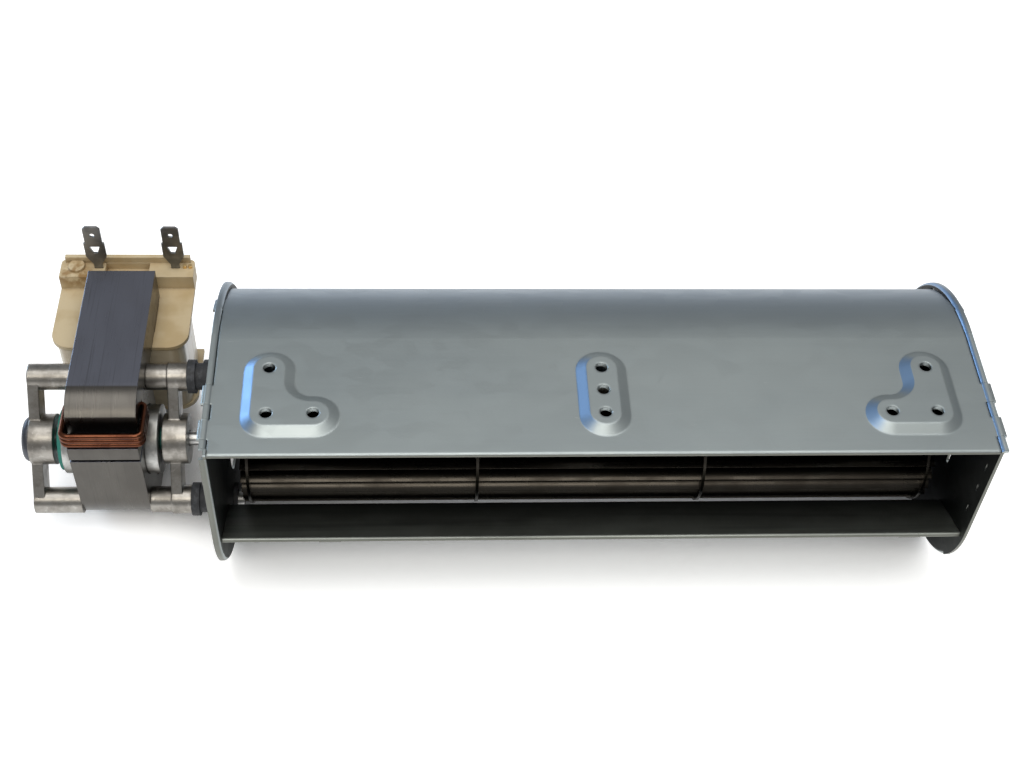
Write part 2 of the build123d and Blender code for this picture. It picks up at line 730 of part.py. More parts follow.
with BuildPart() as coil_bobbin:
    with BuildSketch(Plane.XY.offset(lower_flange_z)) as lower_flange:
        with Locations((stack_mid_x, coil_y)):
            Rectangle(flange_width, 2 * bobbin_front)
        fillet(lower_flange.vertices().group_by(Axis.Y)[0], bobbin_corner_r)
    extrude(amount=bobbin_flange_t)
    with BuildSketch(Plane.XY.offset(upper_flange_z)) as upper_flange:
        with Locations((stack_mid_x, coil_y - bobbin_front)):
            Rectangle(flange_width, bobbin_front + bobbin_back, align=(Align.CENTER, Align.MIN))
        fillet(upper_flange.vertices().group_by(Axis.Y)[0], bobbin_corner_r)
    extrude(amount=bobbin_flange_t)
    with BuildSketch(Plane.XY.offset(lower_flange_z)):
        with Locations((stack_mid_x, coil_y)):
            Rectangle(tube_x, tube_y)
    extrude(amount=2 * bobbin_half)
    with BuildSketch(Plane.XY.offset(upper_flange_z)):
        with Locations((stack_mid_x, block_back)):
            Rectangle(flange_width, bobbin_back - block_front, align=(Align.CENTER, Align.MAX))
    extrude(amount=block_top - upper_flange_z)
    fillet(coil_bobbin.edges().filter_by(Axis.Z).group_by(Axis.Y)[-1], block_wall_t)
    with BuildSketch(Plane.XY.offset(block_top)):
        with Locations((stack_mid_x, block_back)):
            Rectangle(
                flange_width - 2 * block_wall_t, block_wall_t, align=(Align.CENTER, Align.MAX)
            )
    extrude(amount=block_wall_rise)
    with BuildSketch(Plane.XY.offset(block_top)):
        with Locations((stack_mid_x + block_boss_place, terminal_y)):
            Circle(block_boss_r)
    extrude(amount=block_boss_height)
    with BuildSketch(Plane.XY.offset(block_top)):
        with Locations((stack_mid_x, terminal_y)):
            Rectangle(block_recess[0], block_recess[1])
    extrude(amount=-block_recess[2], mode=Mode.SUBTRACT)
    with BuildSketch(Plane.XY.offset(block_top)):
        with Locations(*[(stack_mid_x + place, terminal_y) for place in terminal_places]):
            Rectangle(terminal_neck + 2 * seat_gap, tab_blade_t + 2 * seat_gap)
    extrude(amount=-terminal_root - seat_gap, mode=Mode.SUBTRACT)
    with BuildSketch(Plane.XY.offset(lower_flange_z)):
        with Locations((stack_mid_x, coil_y)):
            Rectangle(stack_t + 2 * seat_gap, core_width + 2 * seat_gap)
    extrude(amount=2 * bobbin_half, mode=Mode.SUBTRACT)
coil_bobbin.part.label = "coil_bobbin"
export_step(coil_bobbin.part, "parts/coil_bobbin.step")

winding_z = lower_flange_z + bobbin_flange_t + seat_gap
winding_height = upper_flange_z - seat_gap - winding_z
winding_x = tube_x + 2 * winding_side
winding_y = tube_y + 2 * winding_front


def coil_ring(outer_grow, inner_x, inner_y, inner_corner_r):
    """Ring between the bobbin's flanges, from an inner outline to the winding plus a growth."""
    with BuildPart(mode=Mode.PRIVATE) as ring:
        with BuildSketch(Plane.XY.offset(winding_z)):
            with Locations((stack_mid_x, coil_y)):
                RectangleRounded(
                    winding_x + 2 * outer_grow,
                    winding_y + 2 * outer_grow,
                    winding_corner_r + outer_grow,
                )
                RectangleRounded(inner_x, inner_y, inner_corner_r, mode=Mode.SUBTRACT)
        extrude(amount=winding_height)
    return ring.part


with BuildPart() as coil_winding:
    add(coil_ring(0, tube_x + 2 * seat_gap, tube_y + 2 * seat_gap, seat_gap))
coil_winding.part.label = "coil_winding"
export_step(coil_winding.part, "parts/coil_winding.step")

with BuildPart() as coil_tape:
    add(coil_ring(
        seat_gap + tape_t, winding_x + 2 * seat_gap, winding_y + 2 * seat_gap,
        winding_corner_r + seat_gap,
    ))
coil_tape.part.label = "coil_tape"
export_step(coil_tape.part, "parts/coil_tape.step")

shoulder_z = terminal_foot + terminal_slope
blade_z = terminal_height - tab_blade_length

with BuildSketch() as terminal_outline:
    with BuildLine():
        half = Polyline(
            (0, -terminal_root),
            (terminal_neck / 2, -terminal_root),
            (terminal_neck / 2, terminal_foot),
            (terminal_shoulder / 2, shoulder_z),
            (terminal_shoulder / 2, blade_z),
            (tab_blade_width / 2, blade_z),
            (tab_blade_width / 2, terminal_height - terminal_tip),
            (tab_blade_width / 2 - terminal_tip, terminal_height),
            (0, terminal_height),
        )
        mirror(half, about=Plane.YZ)
    make_face()
    with Locations((0, blade_z + tab_blade_length / 2)):
        Circle(terminal_hole_r, mode=Mode.SUBTRACT)
    with Locations((0, (shoulder_z + blade_z) / 2)):
        Trapezoid(
            terminal_shoulder / 2, (blade_z - shoulder_z) / 2, 70, rotation=180,
            mode=Mode.SUBTRACT,
        )

with BuildPart() as terminal_tabs:
    with BuildSketch(Plane.XZ.offset(-terminal_y - tab_blade_t / 2)):
        with Locations(*[(stack_mid_x + place, block_top) for place in terminal_places]):
            add(terminal_outline.sketch)
    extrude(amount=tab_blade_t)
terminal_tabs.part.label = "terminal_tabs"
export_step(terminal_tabs.part, "parts/terminal_tabs.step")

with BuildPart() as winding_pins:
    with BuildSketch(Plane.XY.offset(block_top)):
        with Locations(*[(stack_mid_x + place, terminal_y) for place in pin_places]):
            Circle(pin_r)
    extrude(amount=pin_height)
winding_pins.part.label = "winding_pins"
export_step(winding_pins.part, "parts/winding_pins.step")

# ---------------------------------------------------------------- bearing brackets
outer_arm_x = stack_x - outer_bracket_gap - bracket_t
inner_arm_x = stack_inner_x + inner_bracket_gap
inner_boss_x = inner_arm_x + bracket_t + inner_boss_end
post_places = [(post_y, post_z), (-post_y, -post_z)]
post_turn = degrees(atan2(post_z, post_y))
post_r = sqrt(post_y**2 + post_z**2)
inner_hub_x = stack_inner_x + ring_length + hub_clear
outer_ball_x = outer_arm_x + bracket_hub_length / 2
inner_ball_x = inner_hub_x + bracket_hub_length / 2
ball_seat_r = ball_r + seat_gap
counterbore = head_height + seat_gap


def on_axis(x):
    """Place on the impeller axis, with Z turned along it."""
    return Location((x, axis_y, axis_z), (0, 90, 0))


with BuildPart() as outer_bearing_bracket:
    with BuildSketch(axis_plane(outer_arm_x)):
        SlotCenterToCenter(2 * post_r, bracket_arm_width, rotation=post_turn)
    extrude(amount=bracket_t)
    with BuildSketch(axis_plane(outer_arm_x)):
        with Locations(*post_places):
            Circle(boss_r)
    extrude(amount=outer_bracket_gap + bracket_t)
    with BuildSketch(axis_plane(outer_arm_x)):
        Circle(bracket_hub_r)
    extrude(amount=bracket_hub_length)
    with Locations(on_axis(outer_ball_x)):
        Sphere(ball_seat_r, mode=Mode.SUBTRACT)
        Cylinder(
            ball_seat_r, bracket_hub_length, align=(Align.CENTER, Align.CENTER, Align.MIN),
            mode=Mode.SUBTRACT,
        )
        Cylinder(shaft_r + cap_t, 2 * bracket_hub_length, mode=Mode.SUBTRACT)
    with BuildSketch(axis_plane(outer_arm_x)):
        with Locations(*post_places):
            Circle(head_r + seat_gap)
    extrude(amount=counterbore, mode=Mode.SUBTRACT)
    with BuildSketch(axis_plane(outer_arm_x)):
        with Locations(*post_places):
            Circle(bolt_r + seat_gap)
    extrude(amount=outer_bracket_gap + bracket_t, mode=Mode.SUBTRACT)
outer_bearing_bracket.part.label = "outer_bearing_bracket"
export_step(outer_bearing_bracket.part, "parts/outer_bearing_bracket.step")

with BuildPart() as inner_bearing_bracket:
    with BuildSketch(axis_plane(inner_arm_x)):
        SlotCenterToCenter(2 * post_r, bracket_arm_width, rotation=post_turn)
    extrude(amount=bracket_t)
    with BuildSketch(axis_plane(stack_inner_x)):
        with Locations(*post_places):
            Circle(boss_r)
    extrude(amount=inner_bracket_gap)
    with BuildSketch(axis_plane(inner_arm_x)):
        with Locations(*post_places):
            Circle(inner_boss_r)
    extrude(amount=bracket_t + inner_boss_end)
    with BuildSketch(axis_plane(inner_hub_x)):
        Circle(bracket_hub_r)
    extrude(amount=bracket_hub_length)
    with Locations(on_axis(inner_ball_x)):
        Sphere(ball_seat_r, mode=Mode.SUBTRACT)
        Cylinder(
            ball_seat_r, bracket_hub_length, align=(Align.CENTER, Align.CENTER, Align.MIN),
            mode=Mode.SUBTRACT,
        )
        Cylinder(shaft_r + cap_t, 2 * bracket_hub_length, mode=Mode.SUBTRACT)
    with BuildSketch(axis_plane(stack_inner_x)):
        with Locations(*post_places):
            Circle(bolt_r + seat_gap)
    extrude(amount=inner_boss_x - stack_inner_x, mode=Mode.SUBTRACT)
inner_bearing_bracket.part.label = "inner_bearing_bracket"
export_step(inner_bearing_bracket.part, "parts/inner_bearing_bracket.step")


def bearing_ball(x):
    """Self-aligning bearing: a ball with flats and a running bore."""
    with BuildPart(mode=Mode.PRIVATE) as ball:
        with Locations(on_axis(x)):
            Sphere(ball_r)
            Cylinder(ball_r, ball_length, mode=Mode.INTERSECT)
            Cylinder(shaft_r + running_gap, ball_length, mode=Mode.SUBTRACT)
    return ball.part


def bearing_retainer(x):
    """Ring that closes a bracket's hub over its bearing ball."""
    with BuildPart(mode=Mode.PRIVATE) as ring:
        with BuildSketch(axis_plane(x + ball_length / 2 + seat_gap)):
            Circle(ball_r)
            Circle(shaft_r + cap_t, mode=Mode.SUBTRACT)
        extrude(amount=(bracket_hub_length - ball_length) / 2 - seat_gap)
    return ring.part


with BuildPart() as outer_bearing:
    add(bearing_ball(outer_ball_x))
outer_bearing.part.label = "outer_bearing"
export_step(outer_bearing.part, "parts/outer_bearing.step")

with BuildPart() as inner_bearing:
    add(bearing_ball(inner_ball_x))
inner_bearing.part.label = "inner_bearing"
export_step(inner_bearing.part, "parts/inner_bearing.step")

with BuildPart() as outer_bearing_retainer:
    add(bearing_retainer(outer_ball_x))
outer_bearing_retainer.part.label = "outer_bearing_retainer"
export_step(outer_bearing_retainer.part, "parts/outer_bearing_retainer.step")

with BuildPart() as inner_bearing_retainer:
    add(bearing_retainer(inner_ball_x))
inner_bearing_retainer.part.label = "inner_bearing_retainer"
export_step(inner_bearing_retainer.part, "parts/inner_bearing_retainer.step")

with BuildPart() as outer_bearing_cap:
    with BuildSketch(axis_plane(outer_arm_x)):
        Circle(cap_r)
    extrude(amount=-cap_height)
    fillet(outer_bearing_cap.edges().sort_by(Axis.X)[0], cap_height - cap_t)
    offset(amount=-cap_t, openings=outer_bearing_cap.faces().sort_by(Axis.X)[-1])
outer_bearing_cap.part.label = "outer_bearing_cap"
export_step(outer_bearing_cap.part, "parts/outer_bearing_cap.step")

# ---------------------------------------------------------------- screws and grommets
stack_bolt_end = inner_arm_x + bracket_t / 2
grommet_face = -half_duct + grommet_flange_t

with BuildPart() as stator_bolts:
    with BuildSketch(axis_plane(outer_arm_x)):
        with Locations(*post_places):
            Circle(head_r)
            RegularPolygon(bolt_r, 6, mode=Mode.SUBTRACT)
    extrude(amount=head_height / 2)
    with BuildSketch(axis_plane(outer_arm_x + head_height / 2)):
        with Locations(*post_places):
            Circle(head_r)
    extrude(amount=head_height / 2)
    with BuildSketch(axis_plane(outer_arm_x + head_height)):
        with Locations(*post_places):
            Circle(bolt_r)
    extrude(amount=stack_bolt_end - outer_arm_x - head_height)
stator_bolts.part.label = "stator_bolts"
export_step(stator_bolts.part, "parts/stator_bolts.step")

grommet_length = -plate_outer_x - inner_boss_x
with BuildPart() as mounting_grommets:
    for index in range(5):
        with BuildSketch(axis_plane(inner_boss_x + index * grommet_length / 5)):
            with Locations(*post_places):
                Circle(grommet_r - (index % 2) * grommet_groove)
        extrude(amount=grommet_length / 5)
    with BuildSketch(axis_plane(-plate_outer_x)):
        with Locations(*post_places):
            Circle(grommet_neck_r)
    extrude(amount=plate_t)
    with BuildSketch(axis_plane(-half_duct)):
        with Locations(*post_places):
            Circle(grommet_r)
    extrude(amount=grommet_flange_t)
    with BuildSketch(axis_plane(inner_boss_x)):
        with Locations(*post_places):
            Circle(bolt_r + seat_gap)
    extrude(amount=grommet_face - inner_boss_x, mode=Mode.SUBTRACT)
mounting_grommets.part.label = "mounting_grommets"
export_step(mounting_grommets.part, "parts/mounting_grommets.step")

screw_tip = stack_bolt_end + thread_gap
with BuildPart() as mounting_screws:
    with BuildSketch(axis_plane(screw_tip)):
        with Locations(*post_places):
            Circle(bolt_r)
    extrude(amount=grommet_face - screw_tip)
    with BuildSketch(axis_plane(grommet_face)):
        with Locations(*post_places):
            Circle(head_r)
    extrude(amount=head_height)
    with BuildSketch(axis_plane(grommet_face + head_height)):
        with Locations(*post_places):
            RegularPolygon(bolt_r, 6)
    extrude(amount=-head_height / 2, mode=Mode.SUBTRACT)
mounting_screws.part.label = "mounting_screws"
export_step(mounting_screws.part, "parts/mounting_screws.step")

# ---------------------------------------------------------------- rotor
slot_ring_r = rotor_r - slot_r - air_gap
shaft_end = outer_arm_x - shaft_overhang

with BuildPart() as rotor_core:
    with BuildSketch(axis_plane(stack_x)):
        Circle(rotor_r)
        Circle(shaft_r + seat_gap, mode=Mode.SUBTRACT)
        with PolarLocations(slot_ring_r, slot_count):
            Circle(slot_r + seat_gap, mode=Mode.SUBTRACT)
    extrude(amount=stack_t)
rotor_core.part.label = "rotor_core"
export_step(rotor_core.part, "parts/rotor_core.step")

with BuildPart() as rotor_cage:
    for place in (stack_x - ring_length, stack_inner_x):
        with BuildSketch(axis_plane(place)):
            Circle(rotor_r)
            Circle(cage_bore_r, mode=Mode.SUBTRACT)
        extrude(amount=ring_length)
    with BuildSketch(axis_plane(stack_x)):
        with PolarLocations(slot_ring_r, slot_count):
            Circle(slot_r)
    extrude(amount=stack_t)
rotor_cage.part.label = "rotor_cage"
export_step(rotor_cage.part, "parts/rotor_cage.step")

with BuildPart() as motor_shaft:
    with BuildSketch(axis_plane(shaft_end)):
        Circle(shaft_r)
    extrude(amount=drive_disc_face + hub_length - shaft_end)
    chamfer(motor_shaft.edges().filter_by(GeomType.CIRCLE), shaft_r / 6)
motor_shaft.part.label = "motor_shaft"
export_step(motor_shaft.part, "parts/motor_shaft.step")

outer_collar_x = outer_arm_x + bracket_hub_length + running_face
with BuildPart() as thrust_washer:
    with BuildSketch(axis_plane(stack_x - ring_length)):
        Circle(washer_r)
    extrude(amount=-washer_t)
    with BuildSketch(axis_plane(outer_collar_x)):
        Circle(collar_r)
    extrude(amount=stack_x - ring_length - outer_collar_x)
    with BuildSketch(axis_plane(outer_collar_x)):
        Circle(shaft_r + seat_gap)
    extrude(amount=stack_x - outer_collar_x, mode=Mode.SUBTRACT)
thrust_washer.part.label = "thrust_washer"
export_step(thrust_washer.part, "parts/thrust_washer.step")

with BuildPart() as inner_washer:
    with BuildSketch(axis_plane(stack_inner_x)):
        Circle(collar_r)
        Circle(shaft_r + seat_gap, mode=Mode.SUBTRACT)
    extrude(amount=inner_hub_x - running_face - stack_inner_x)
inner_washer.part.label = "inner_washer"
export_step(inner_washer.part, "parts/inner_washer.step")
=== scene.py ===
"""Finishes, camera and studio for a cross flow fan with a shaded-pole motor.

The fan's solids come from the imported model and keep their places. Each operator below dresses one
group of pieces with its finish, or makes the fine pieces that the solids leave out.
"""

import math

import bmesh
import bpy
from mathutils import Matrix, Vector


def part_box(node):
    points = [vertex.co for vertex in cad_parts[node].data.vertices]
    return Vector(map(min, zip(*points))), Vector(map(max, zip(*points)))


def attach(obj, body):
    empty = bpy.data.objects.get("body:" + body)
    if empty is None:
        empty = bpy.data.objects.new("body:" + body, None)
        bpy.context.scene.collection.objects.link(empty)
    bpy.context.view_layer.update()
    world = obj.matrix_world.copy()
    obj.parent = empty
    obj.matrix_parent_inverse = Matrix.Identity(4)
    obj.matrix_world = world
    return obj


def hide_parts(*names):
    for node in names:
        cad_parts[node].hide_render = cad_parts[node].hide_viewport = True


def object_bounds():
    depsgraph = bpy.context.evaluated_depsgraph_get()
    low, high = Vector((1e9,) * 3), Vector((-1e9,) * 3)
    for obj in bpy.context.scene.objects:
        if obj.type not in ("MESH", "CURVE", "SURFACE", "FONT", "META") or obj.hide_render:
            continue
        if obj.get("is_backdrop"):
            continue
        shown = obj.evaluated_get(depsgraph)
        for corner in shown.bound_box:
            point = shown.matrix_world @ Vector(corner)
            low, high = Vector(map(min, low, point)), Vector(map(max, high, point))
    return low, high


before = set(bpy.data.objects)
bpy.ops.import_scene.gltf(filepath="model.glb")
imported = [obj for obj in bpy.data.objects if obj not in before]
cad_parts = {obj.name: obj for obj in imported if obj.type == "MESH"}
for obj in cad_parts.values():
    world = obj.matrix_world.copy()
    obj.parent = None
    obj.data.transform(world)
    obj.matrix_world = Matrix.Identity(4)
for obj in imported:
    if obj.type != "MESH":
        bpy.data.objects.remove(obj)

bl_info = {
    "name": "Cross Flow Fan Finishes",
    "version": (1, 0, 0),
    "blender": (4, 5, 0),
    "location": "View3D > Sidebar > Fan",
    "description": "Dresses a cross flow fan: zinc sheet, laminated stator, copper, cast brackets",
    "category": "Object",
}

BEND_STEPS = 6             # flats round the end plates' bend
STAKE_COUNT = 5.0          # punched stakes in the stack's row
TAPE_WIDTH = 0.0085        # from one turn of the coil's tape to the next
WHITE = (1.0, 1.0, 1.0)
BLACK = (0.0, 0.0, 0.0)

# Bright tone, dull tone and roughness of each plated or bare metal.
PLATED_METALS = {
    "turned_hub": ((0.5, 0.5, 0.5), (0.32, 0.32, 0.31), 0.28),
    "brass_pin": ((0.85, 0.62, 0.30), (0.55, 0.36, 0.15), 0.22),
    "tinned_brass": ((0.25, 0.25, 0.25), (0.15, 0.15, 0.15), 0.32),
    "spring_steel": ((0.42, 0.41, 0.39), (0.22, 0.21, 0.2), 0.3),
    "dark_cap": ((0.10, 0.105, 0.12), (0.05, 0.05, 0.055), 0.34),
    "ground_steel": ((0.55, 0.55, 0.54), (0.4, 0.4, 0.39), 0.2),
    "zinc_plated_screw": ((0.56, 0.56, 0.55), (0.34, 0.34, 0.33), 0.26),
}


# ---------------------------------------------------------------- sizes and colours

def colour(name, description, default):
    """A colour that a user may change."""
    return bpy.props.FloatVectorProperty(
        name=name, description=description, default=default,
        size=3, subtype="COLOR", min=0.0, max=1.0)


def length(name, description, default):
    """A length in metres that a user may change."""
    return bpy.props.FloatProperty(
        name=name, description=description, default=default,
        min=0.0, unit="LENGTH", precision=5)


def coordinate(name, description, default):
    """A place along one axis, in metres, that a user may change."""
    return bpy.props.FloatProperty(
        name=name, description=description, default=default, unit="LENGTH", precision=4)


def place(name, description, default):
    """A place in metres that a user may change."""
    return bpy.props.FloatVectorProperty(
        name=name, description=description, default=default,
        size=3, subtype="TRANSLATION", unit="LENGTH")


def power(name, description, default):
    """A lamp's power in watts that a user may change."""
    return bpy.props.FloatProperty(
        name=name, description=description, default=default, min=0.0, unit="POWER")


def share(name, description, default):
    """A share from 0 to 1 that a user may change."""
    return bpy.props.FloatProperty(
        name=name, description=description, default=default,
        min=0.0, max=1.0, subtype="FACTOR")


class FanStageSettings(bpy.types.PropertyGroup):
    """Camera, floor and lamps."""

    camera_place: place("Camera place", "Where the camera stands", (-0.0586, -0.3265, 0.3807))
    camera_turn: bpy.props.FloatVectorProperty(
        name="Camera turn", description="How the camera is turned",
        default=(0.71335, -0.04172, -0.03947), size=3, subtype="EULER", unit="ROTATION")
    camera_lens: bpy.props.FloatProperty(
        name="Lens", description="Focal length in millimetres", default=54.615, min=10.0)
    floor_reach: length("Floor reach", "Half the width of the floor", 40.0)
    floor_colour: colour("Floor colour", "Plain pale floor", (0.9, 0.9, 0.9))
    floor_mottle: colour("Floor mottle", "Colour of the floor's paler clouds", (0.93, 0.93, 0.93))
    room_tone: colour("Room tone", "Colour of the room's light", (0.97, 0.985, 1.0))
    studio_level: share("Studio level", "Brightness of the room around the fan", 0.36)
    floor_glow: share("Floor glow", "How far the paper floor is lifted towards white", 0.55)
    # Painted shadow: the floor's glow is taken away near the fan.
    shadow_reach: length("Shadow reach", "How near the fan the floor stops glowing", 0.11)
    lamp_aim_y: coordinate("Lamp aim Y", "Where the softboxes point, along Y", 0.03)
    lamp_aim_z: coordinate("Lamp aim Z", "Height that the softboxes point at", -0.04)
    ceiling_place: place("Ceiling place", "Where the softbox overhead hangs", (-0.03, 0.02, 0.85))
    ceiling_power: power("Ceiling power", "Power of the softbox overhead", 4.3)
    ceiling_tone: colour("Ceiling tone", "Colour of the light overhead", (1.0, 0.985, 0.96))
    window_place: place("Window place", "Where the cool softbox on the motor's side stands",
                        (-1.0, 0.75, 0.22))
    window_power: power("Window power", "Power of the cool softbox on the motor's side", 5.5)
    window_tone: colour("Window tone", "Colour of the cool light", (0.55, 0.75, 1.0))
    front_place: place("Front place", "Where the warm softbox in front stands",
                       (-0.1, -0.72, 1.0))
    front_power: power("Front power", "Power of the warm softbox in front", 4.2)
    front_tone: colour("Front tone", "Colour of the warm light", (1.0, 0.95, 0.86))


class FanHousingSettings(bpy.types.PropertyGroup):
    """Zinc-coated sheet and the end plates."""

    zinc: colour("Zinc", "Colour of the zinc coat", (0.39, 0.432, 0.432))
    zinc_shade: colour("Zinc shade", "Colour of the duller zinc patches", (0.325, 0.365, 0.374))
    # Painted reflection: slopes that face the motor's side and upward are tinted blue, standing in
    # for the cool softbox that they reflect.
    slope_painted_reflection: colour("Blued zinc", "Colour of the pads' slopes on the motor's side",
                       (0.16, 0.29, 0.50))
    # Painted reflection: the rear curve is tinted darker and bluish, standing in for the room that
    # it reflects.
    rear_painted_reflection: colour("Rear zinc", "Colour of the bluish zinc on the rear curve",
                      (0.20, 0.25, 0.31))
    # Painted shade: the hem's forward-facing face below this height takes the hem shade colour,
    # standing in for the shade on its rounded nose.
    hem_line: coordinate("Hem line", "Height below which the front hem is oily", -0.0024)
    hem_shade: colour("Hem shade", "Colour of the oily front hem", (0.15, 0.152, 0.13))
    cut_edge: colour("Cut edge", "Colour of the bright sheared edges", (0.62, 0.63, 0.62))
    # Painted shade: the sheets are darkened to this colour in corners and gaps that ambient
    # occlusion finds.
    painted_corner_shade: colour("Grime", "Colour in the corners of the sheet", (0.045, 0.048, 0.05))
    # Painted shade inside the duct: the next four colours darken the faces that the air passes,
    # each sheet's tone at the outlet and the nearly black tone further in.
    top_painted_shade: colour("Dust under the top", "Colour under the top sheet, at the outlet",
                     (0.065, 0.07, 0.068))
    lower_painted_shade: colour("Dust on the lower sheet", "Colour of the lower sheet, at the outlet",
                       (0.55, 0.585, 0.54))
    plate_painted_shade: colour("Dust on the plates", "Colour of the plates' inner faces, at the outlet",
                       (0.055, 0.06, 0.058))
    deep_painted_shade: colour("Deep dust", "Colour of the dust deep in the duct", (0.010, 0.012, 0.014))
    dust_streaks: colour("Dust streaks", "Colour of the streaks in the dust",
                         (0.02, 0.023, 0.023))
    grain: length("Grain", "Width of the rolling marks", 0.0004)
    sheet_top: coordinate("Sheet top", "Height of the flat top", -0.002)
    scroll_radius: length("Scroll radius", "Outer radius of the scroll", 0.055)
    scroll_centre_y: coordinate("Scroll centre Y", "Middle of the scroll's main curve", 0.0243)
    scroll_centre_z: coordinate("Scroll centre Z", "Middle of the scroll's main curve", -0.057)
    bend_radius: length("Bend radius", "Outer radius of the end plates' bend", 0.0017)
    flange_width: length("Flange width", "From an end plate's inner face to its flange's edge",
                         0.0024)
    plate_thickness: length("Plate thickness", "Thickness of the end plates", 0.001)
    tab_window_width: length("Tab window", "Width of the windows for the flat tabs", 0.0083)
    first_tab_y: coordinate("First tab Y", "Middle of the tab nearest the outlet", -0.0147)
    second_tab_y: coordinate("Second tab Y", "Middle of the next flat tab", -0.0002)
    spangle: length("Spangle", "Size of the zinc crystals", 0.006)
    wear: share("Wear", "How much the sheet is scuffed", 0.35)


class FanWheelSettings(bpy.types.PropertyGroup):
    """Blades, discs and hubs of the impeller."""

    # Painted shade: both wheel tones are darkened far below bare aluminium, standing in for the
    # shade deep in the duct.
    aluminium: colour("Aluminium", "Colour of the blades and discs", (0.06, 0.054, 0.046))
    aluminium_shade: colour("Aluminium shade", "Colour of its dusty hollows",
                            (0.026, 0.022, 0.018))
    brushing: length("Brushing", "Width of the drawn marks along a blade", 0.00025)


class FanMotorSettings(bpy.types.PropertyGroup):
    """Stator, coil, brackets and rotor."""

    steel: colour("Lamination steel", "Colour of the stator sheets", (0.102, 0.096, 0.087))
    steel_dull: colour("Dull steel", "Colour of the sheets where they are oily",
                       (0.075, 0.07, 0.064))
    # Painted reflection: only the stack's upward faces take this bluish tone, standing in for the
    # sky that they reflect.
    steel_top_painted_reflection: colour("Blued steel", "Colour of the annealed outer faces", (0.205, 0.212, 0.25))
    sheet_line: colour("Sheet line", "Colour between the stator sheets", (0.05, 0.047, 0.045))
    rust: colour("Rust", "Colour of the small rust specks", (0.10, 0.05, 0.03))
    # Painted shade: the stakes are not in the solid, and their hollows are painted this dark.
    stake_shade: colour("Stake shade", "Colour in the punched stakes", (0.008, 0.008, 0.009))
    # Painted shade: the stator is darkened to this colour in its corners, from ambient occlusion.
    steel_painted_shade: colour("Steel grime", "Colour in the stator's corners", (0.02, 0.02, 0.02))
    stakes_start_y: coordinate("Stakes start Y", "Front end of the row of stakes", 0.0395)
    stakes_z: coordinate("Stakes Z", "Height of the row of stakes", -0.0272)
    stake_pitch: length("Stake pitch", "From one stake to the next", 0.0034)
    stake_width: length("Stake width", "Width of a stake, which is as high both ways", 0.0013)
    lamination: length("Lamination", "Thickness of one stator sheet", 0.0005)
    copper: colour("Copper", "Colour of the shading rings", (0.135, 0.049, 0.026))
    copper_dark: colour("Oxidised copper", "Colour where the rings are tarnished",
                        (0.06, 0.018, 0.011))
    # Painted shade: the rings are darkened to this colour between their strands, from ambient
    # occlusion.
    copper_painted_shade: colour("Copper grime", "Colour between the rings' strands",
                         (0.02, 0.006, 0.004))
    wire: length("Wire", "Thickness of the winding's wire", 0.0003)
    enamel: colour("Enamel", "Colour of the winding's wire", (0.45, 0.15, 0.05))
    enamel_shade: colour("Enamel shade", "Colour between its turns", (0.20, 0.055, 0.02))
    plastic: colour("Bobbin plastic", "Colour of the bobbin", (0.60, 0.49, 0.31))
    plastic_shade: colour("Aged plastic", "Colour of the bobbin where it has yellowed",
                          (0.40, 0.27, 0.11))
    # Painted shade: the bobbin is darkened to this colour in its corners, from ambient occlusion.
    plastic_painted_shade: colour("Plastic grime", "Colour in the bobbin's corners", (0.20, 0.11, 0.03))
    stain: colour("Stain", "Colour of the varnish stain on the bobbin", (0.26, 0.135, 0.03))
    stain_place: place("Stain place", "Middle of the varnish stain", (-0.1865, 0.0815, -0.0285))
    stain_reach: length("Stain reach", "How far the varnish stain spreads", 0.011)
    tape: colour("Tape", "Colour of the coil's tape", (0.62, 0.55, 0.41))
    tape_shade: colour("Tape shade", "Colour in the tape's creases", (0.42, 0.31, 0.17))
    casting: colour("Casting", "Colour of the die-cast brackets", (0.37, 0.352, 0.322))
    casting_shade: colour("Casting shade", "Colour of the casting's dull skin",
                          (0.17, 0.157, 0.14))
    casting_rubbed: colour("Rubbed casting", "Colour where a casting was rubbed bright",
                           (0.62, 0.6, 0.56))
    # Painted shade: castings are darkened to this colour in corners and between parts, from ambient
    # occlusion.
    casting_painted_shade: colour("Casting grime", "Colour in a casting's corners",
                          (0.03, 0.028, 0.026))
    cage: colour("Cage", "Colour of the rotor's cast cage", (0.52, 0.52, 0.50))
    cage_shade: colour("Cage shade", "Colour of the cage's dull skin", (0.22, 0.22, 0.21))
    bronze: colour("Bronze", "Colour of the bearing balls", (0.50, 0.34, 0.17))
    bronze_oiled: colour("Oiled bronze", "Colour of the bronze in its pores",
                         (0.20, 0.13, 0.07))
    rubber: colour("Rubber", "Colour of the grommets", (0.022, 0.023, 0.026))
    rubber_bloom: colour("Rubber bloom", "Colour of the chalky rubber", (0.085, 0.09, 0.10))
    fibre: colour("Fibre", "Colour of the washers", (0.035, 0.30, 0.235))
    fibre_shade: colour("Fibre shade", "Colour between the washers' fibres",
                        (0.02, 0.16, 0.13))


def settings(group):
    """One of the setting groups kept on the scene."""
    return getattr(bpy.context.scene, group)


# ---------------------------------------------------------------- shader maths

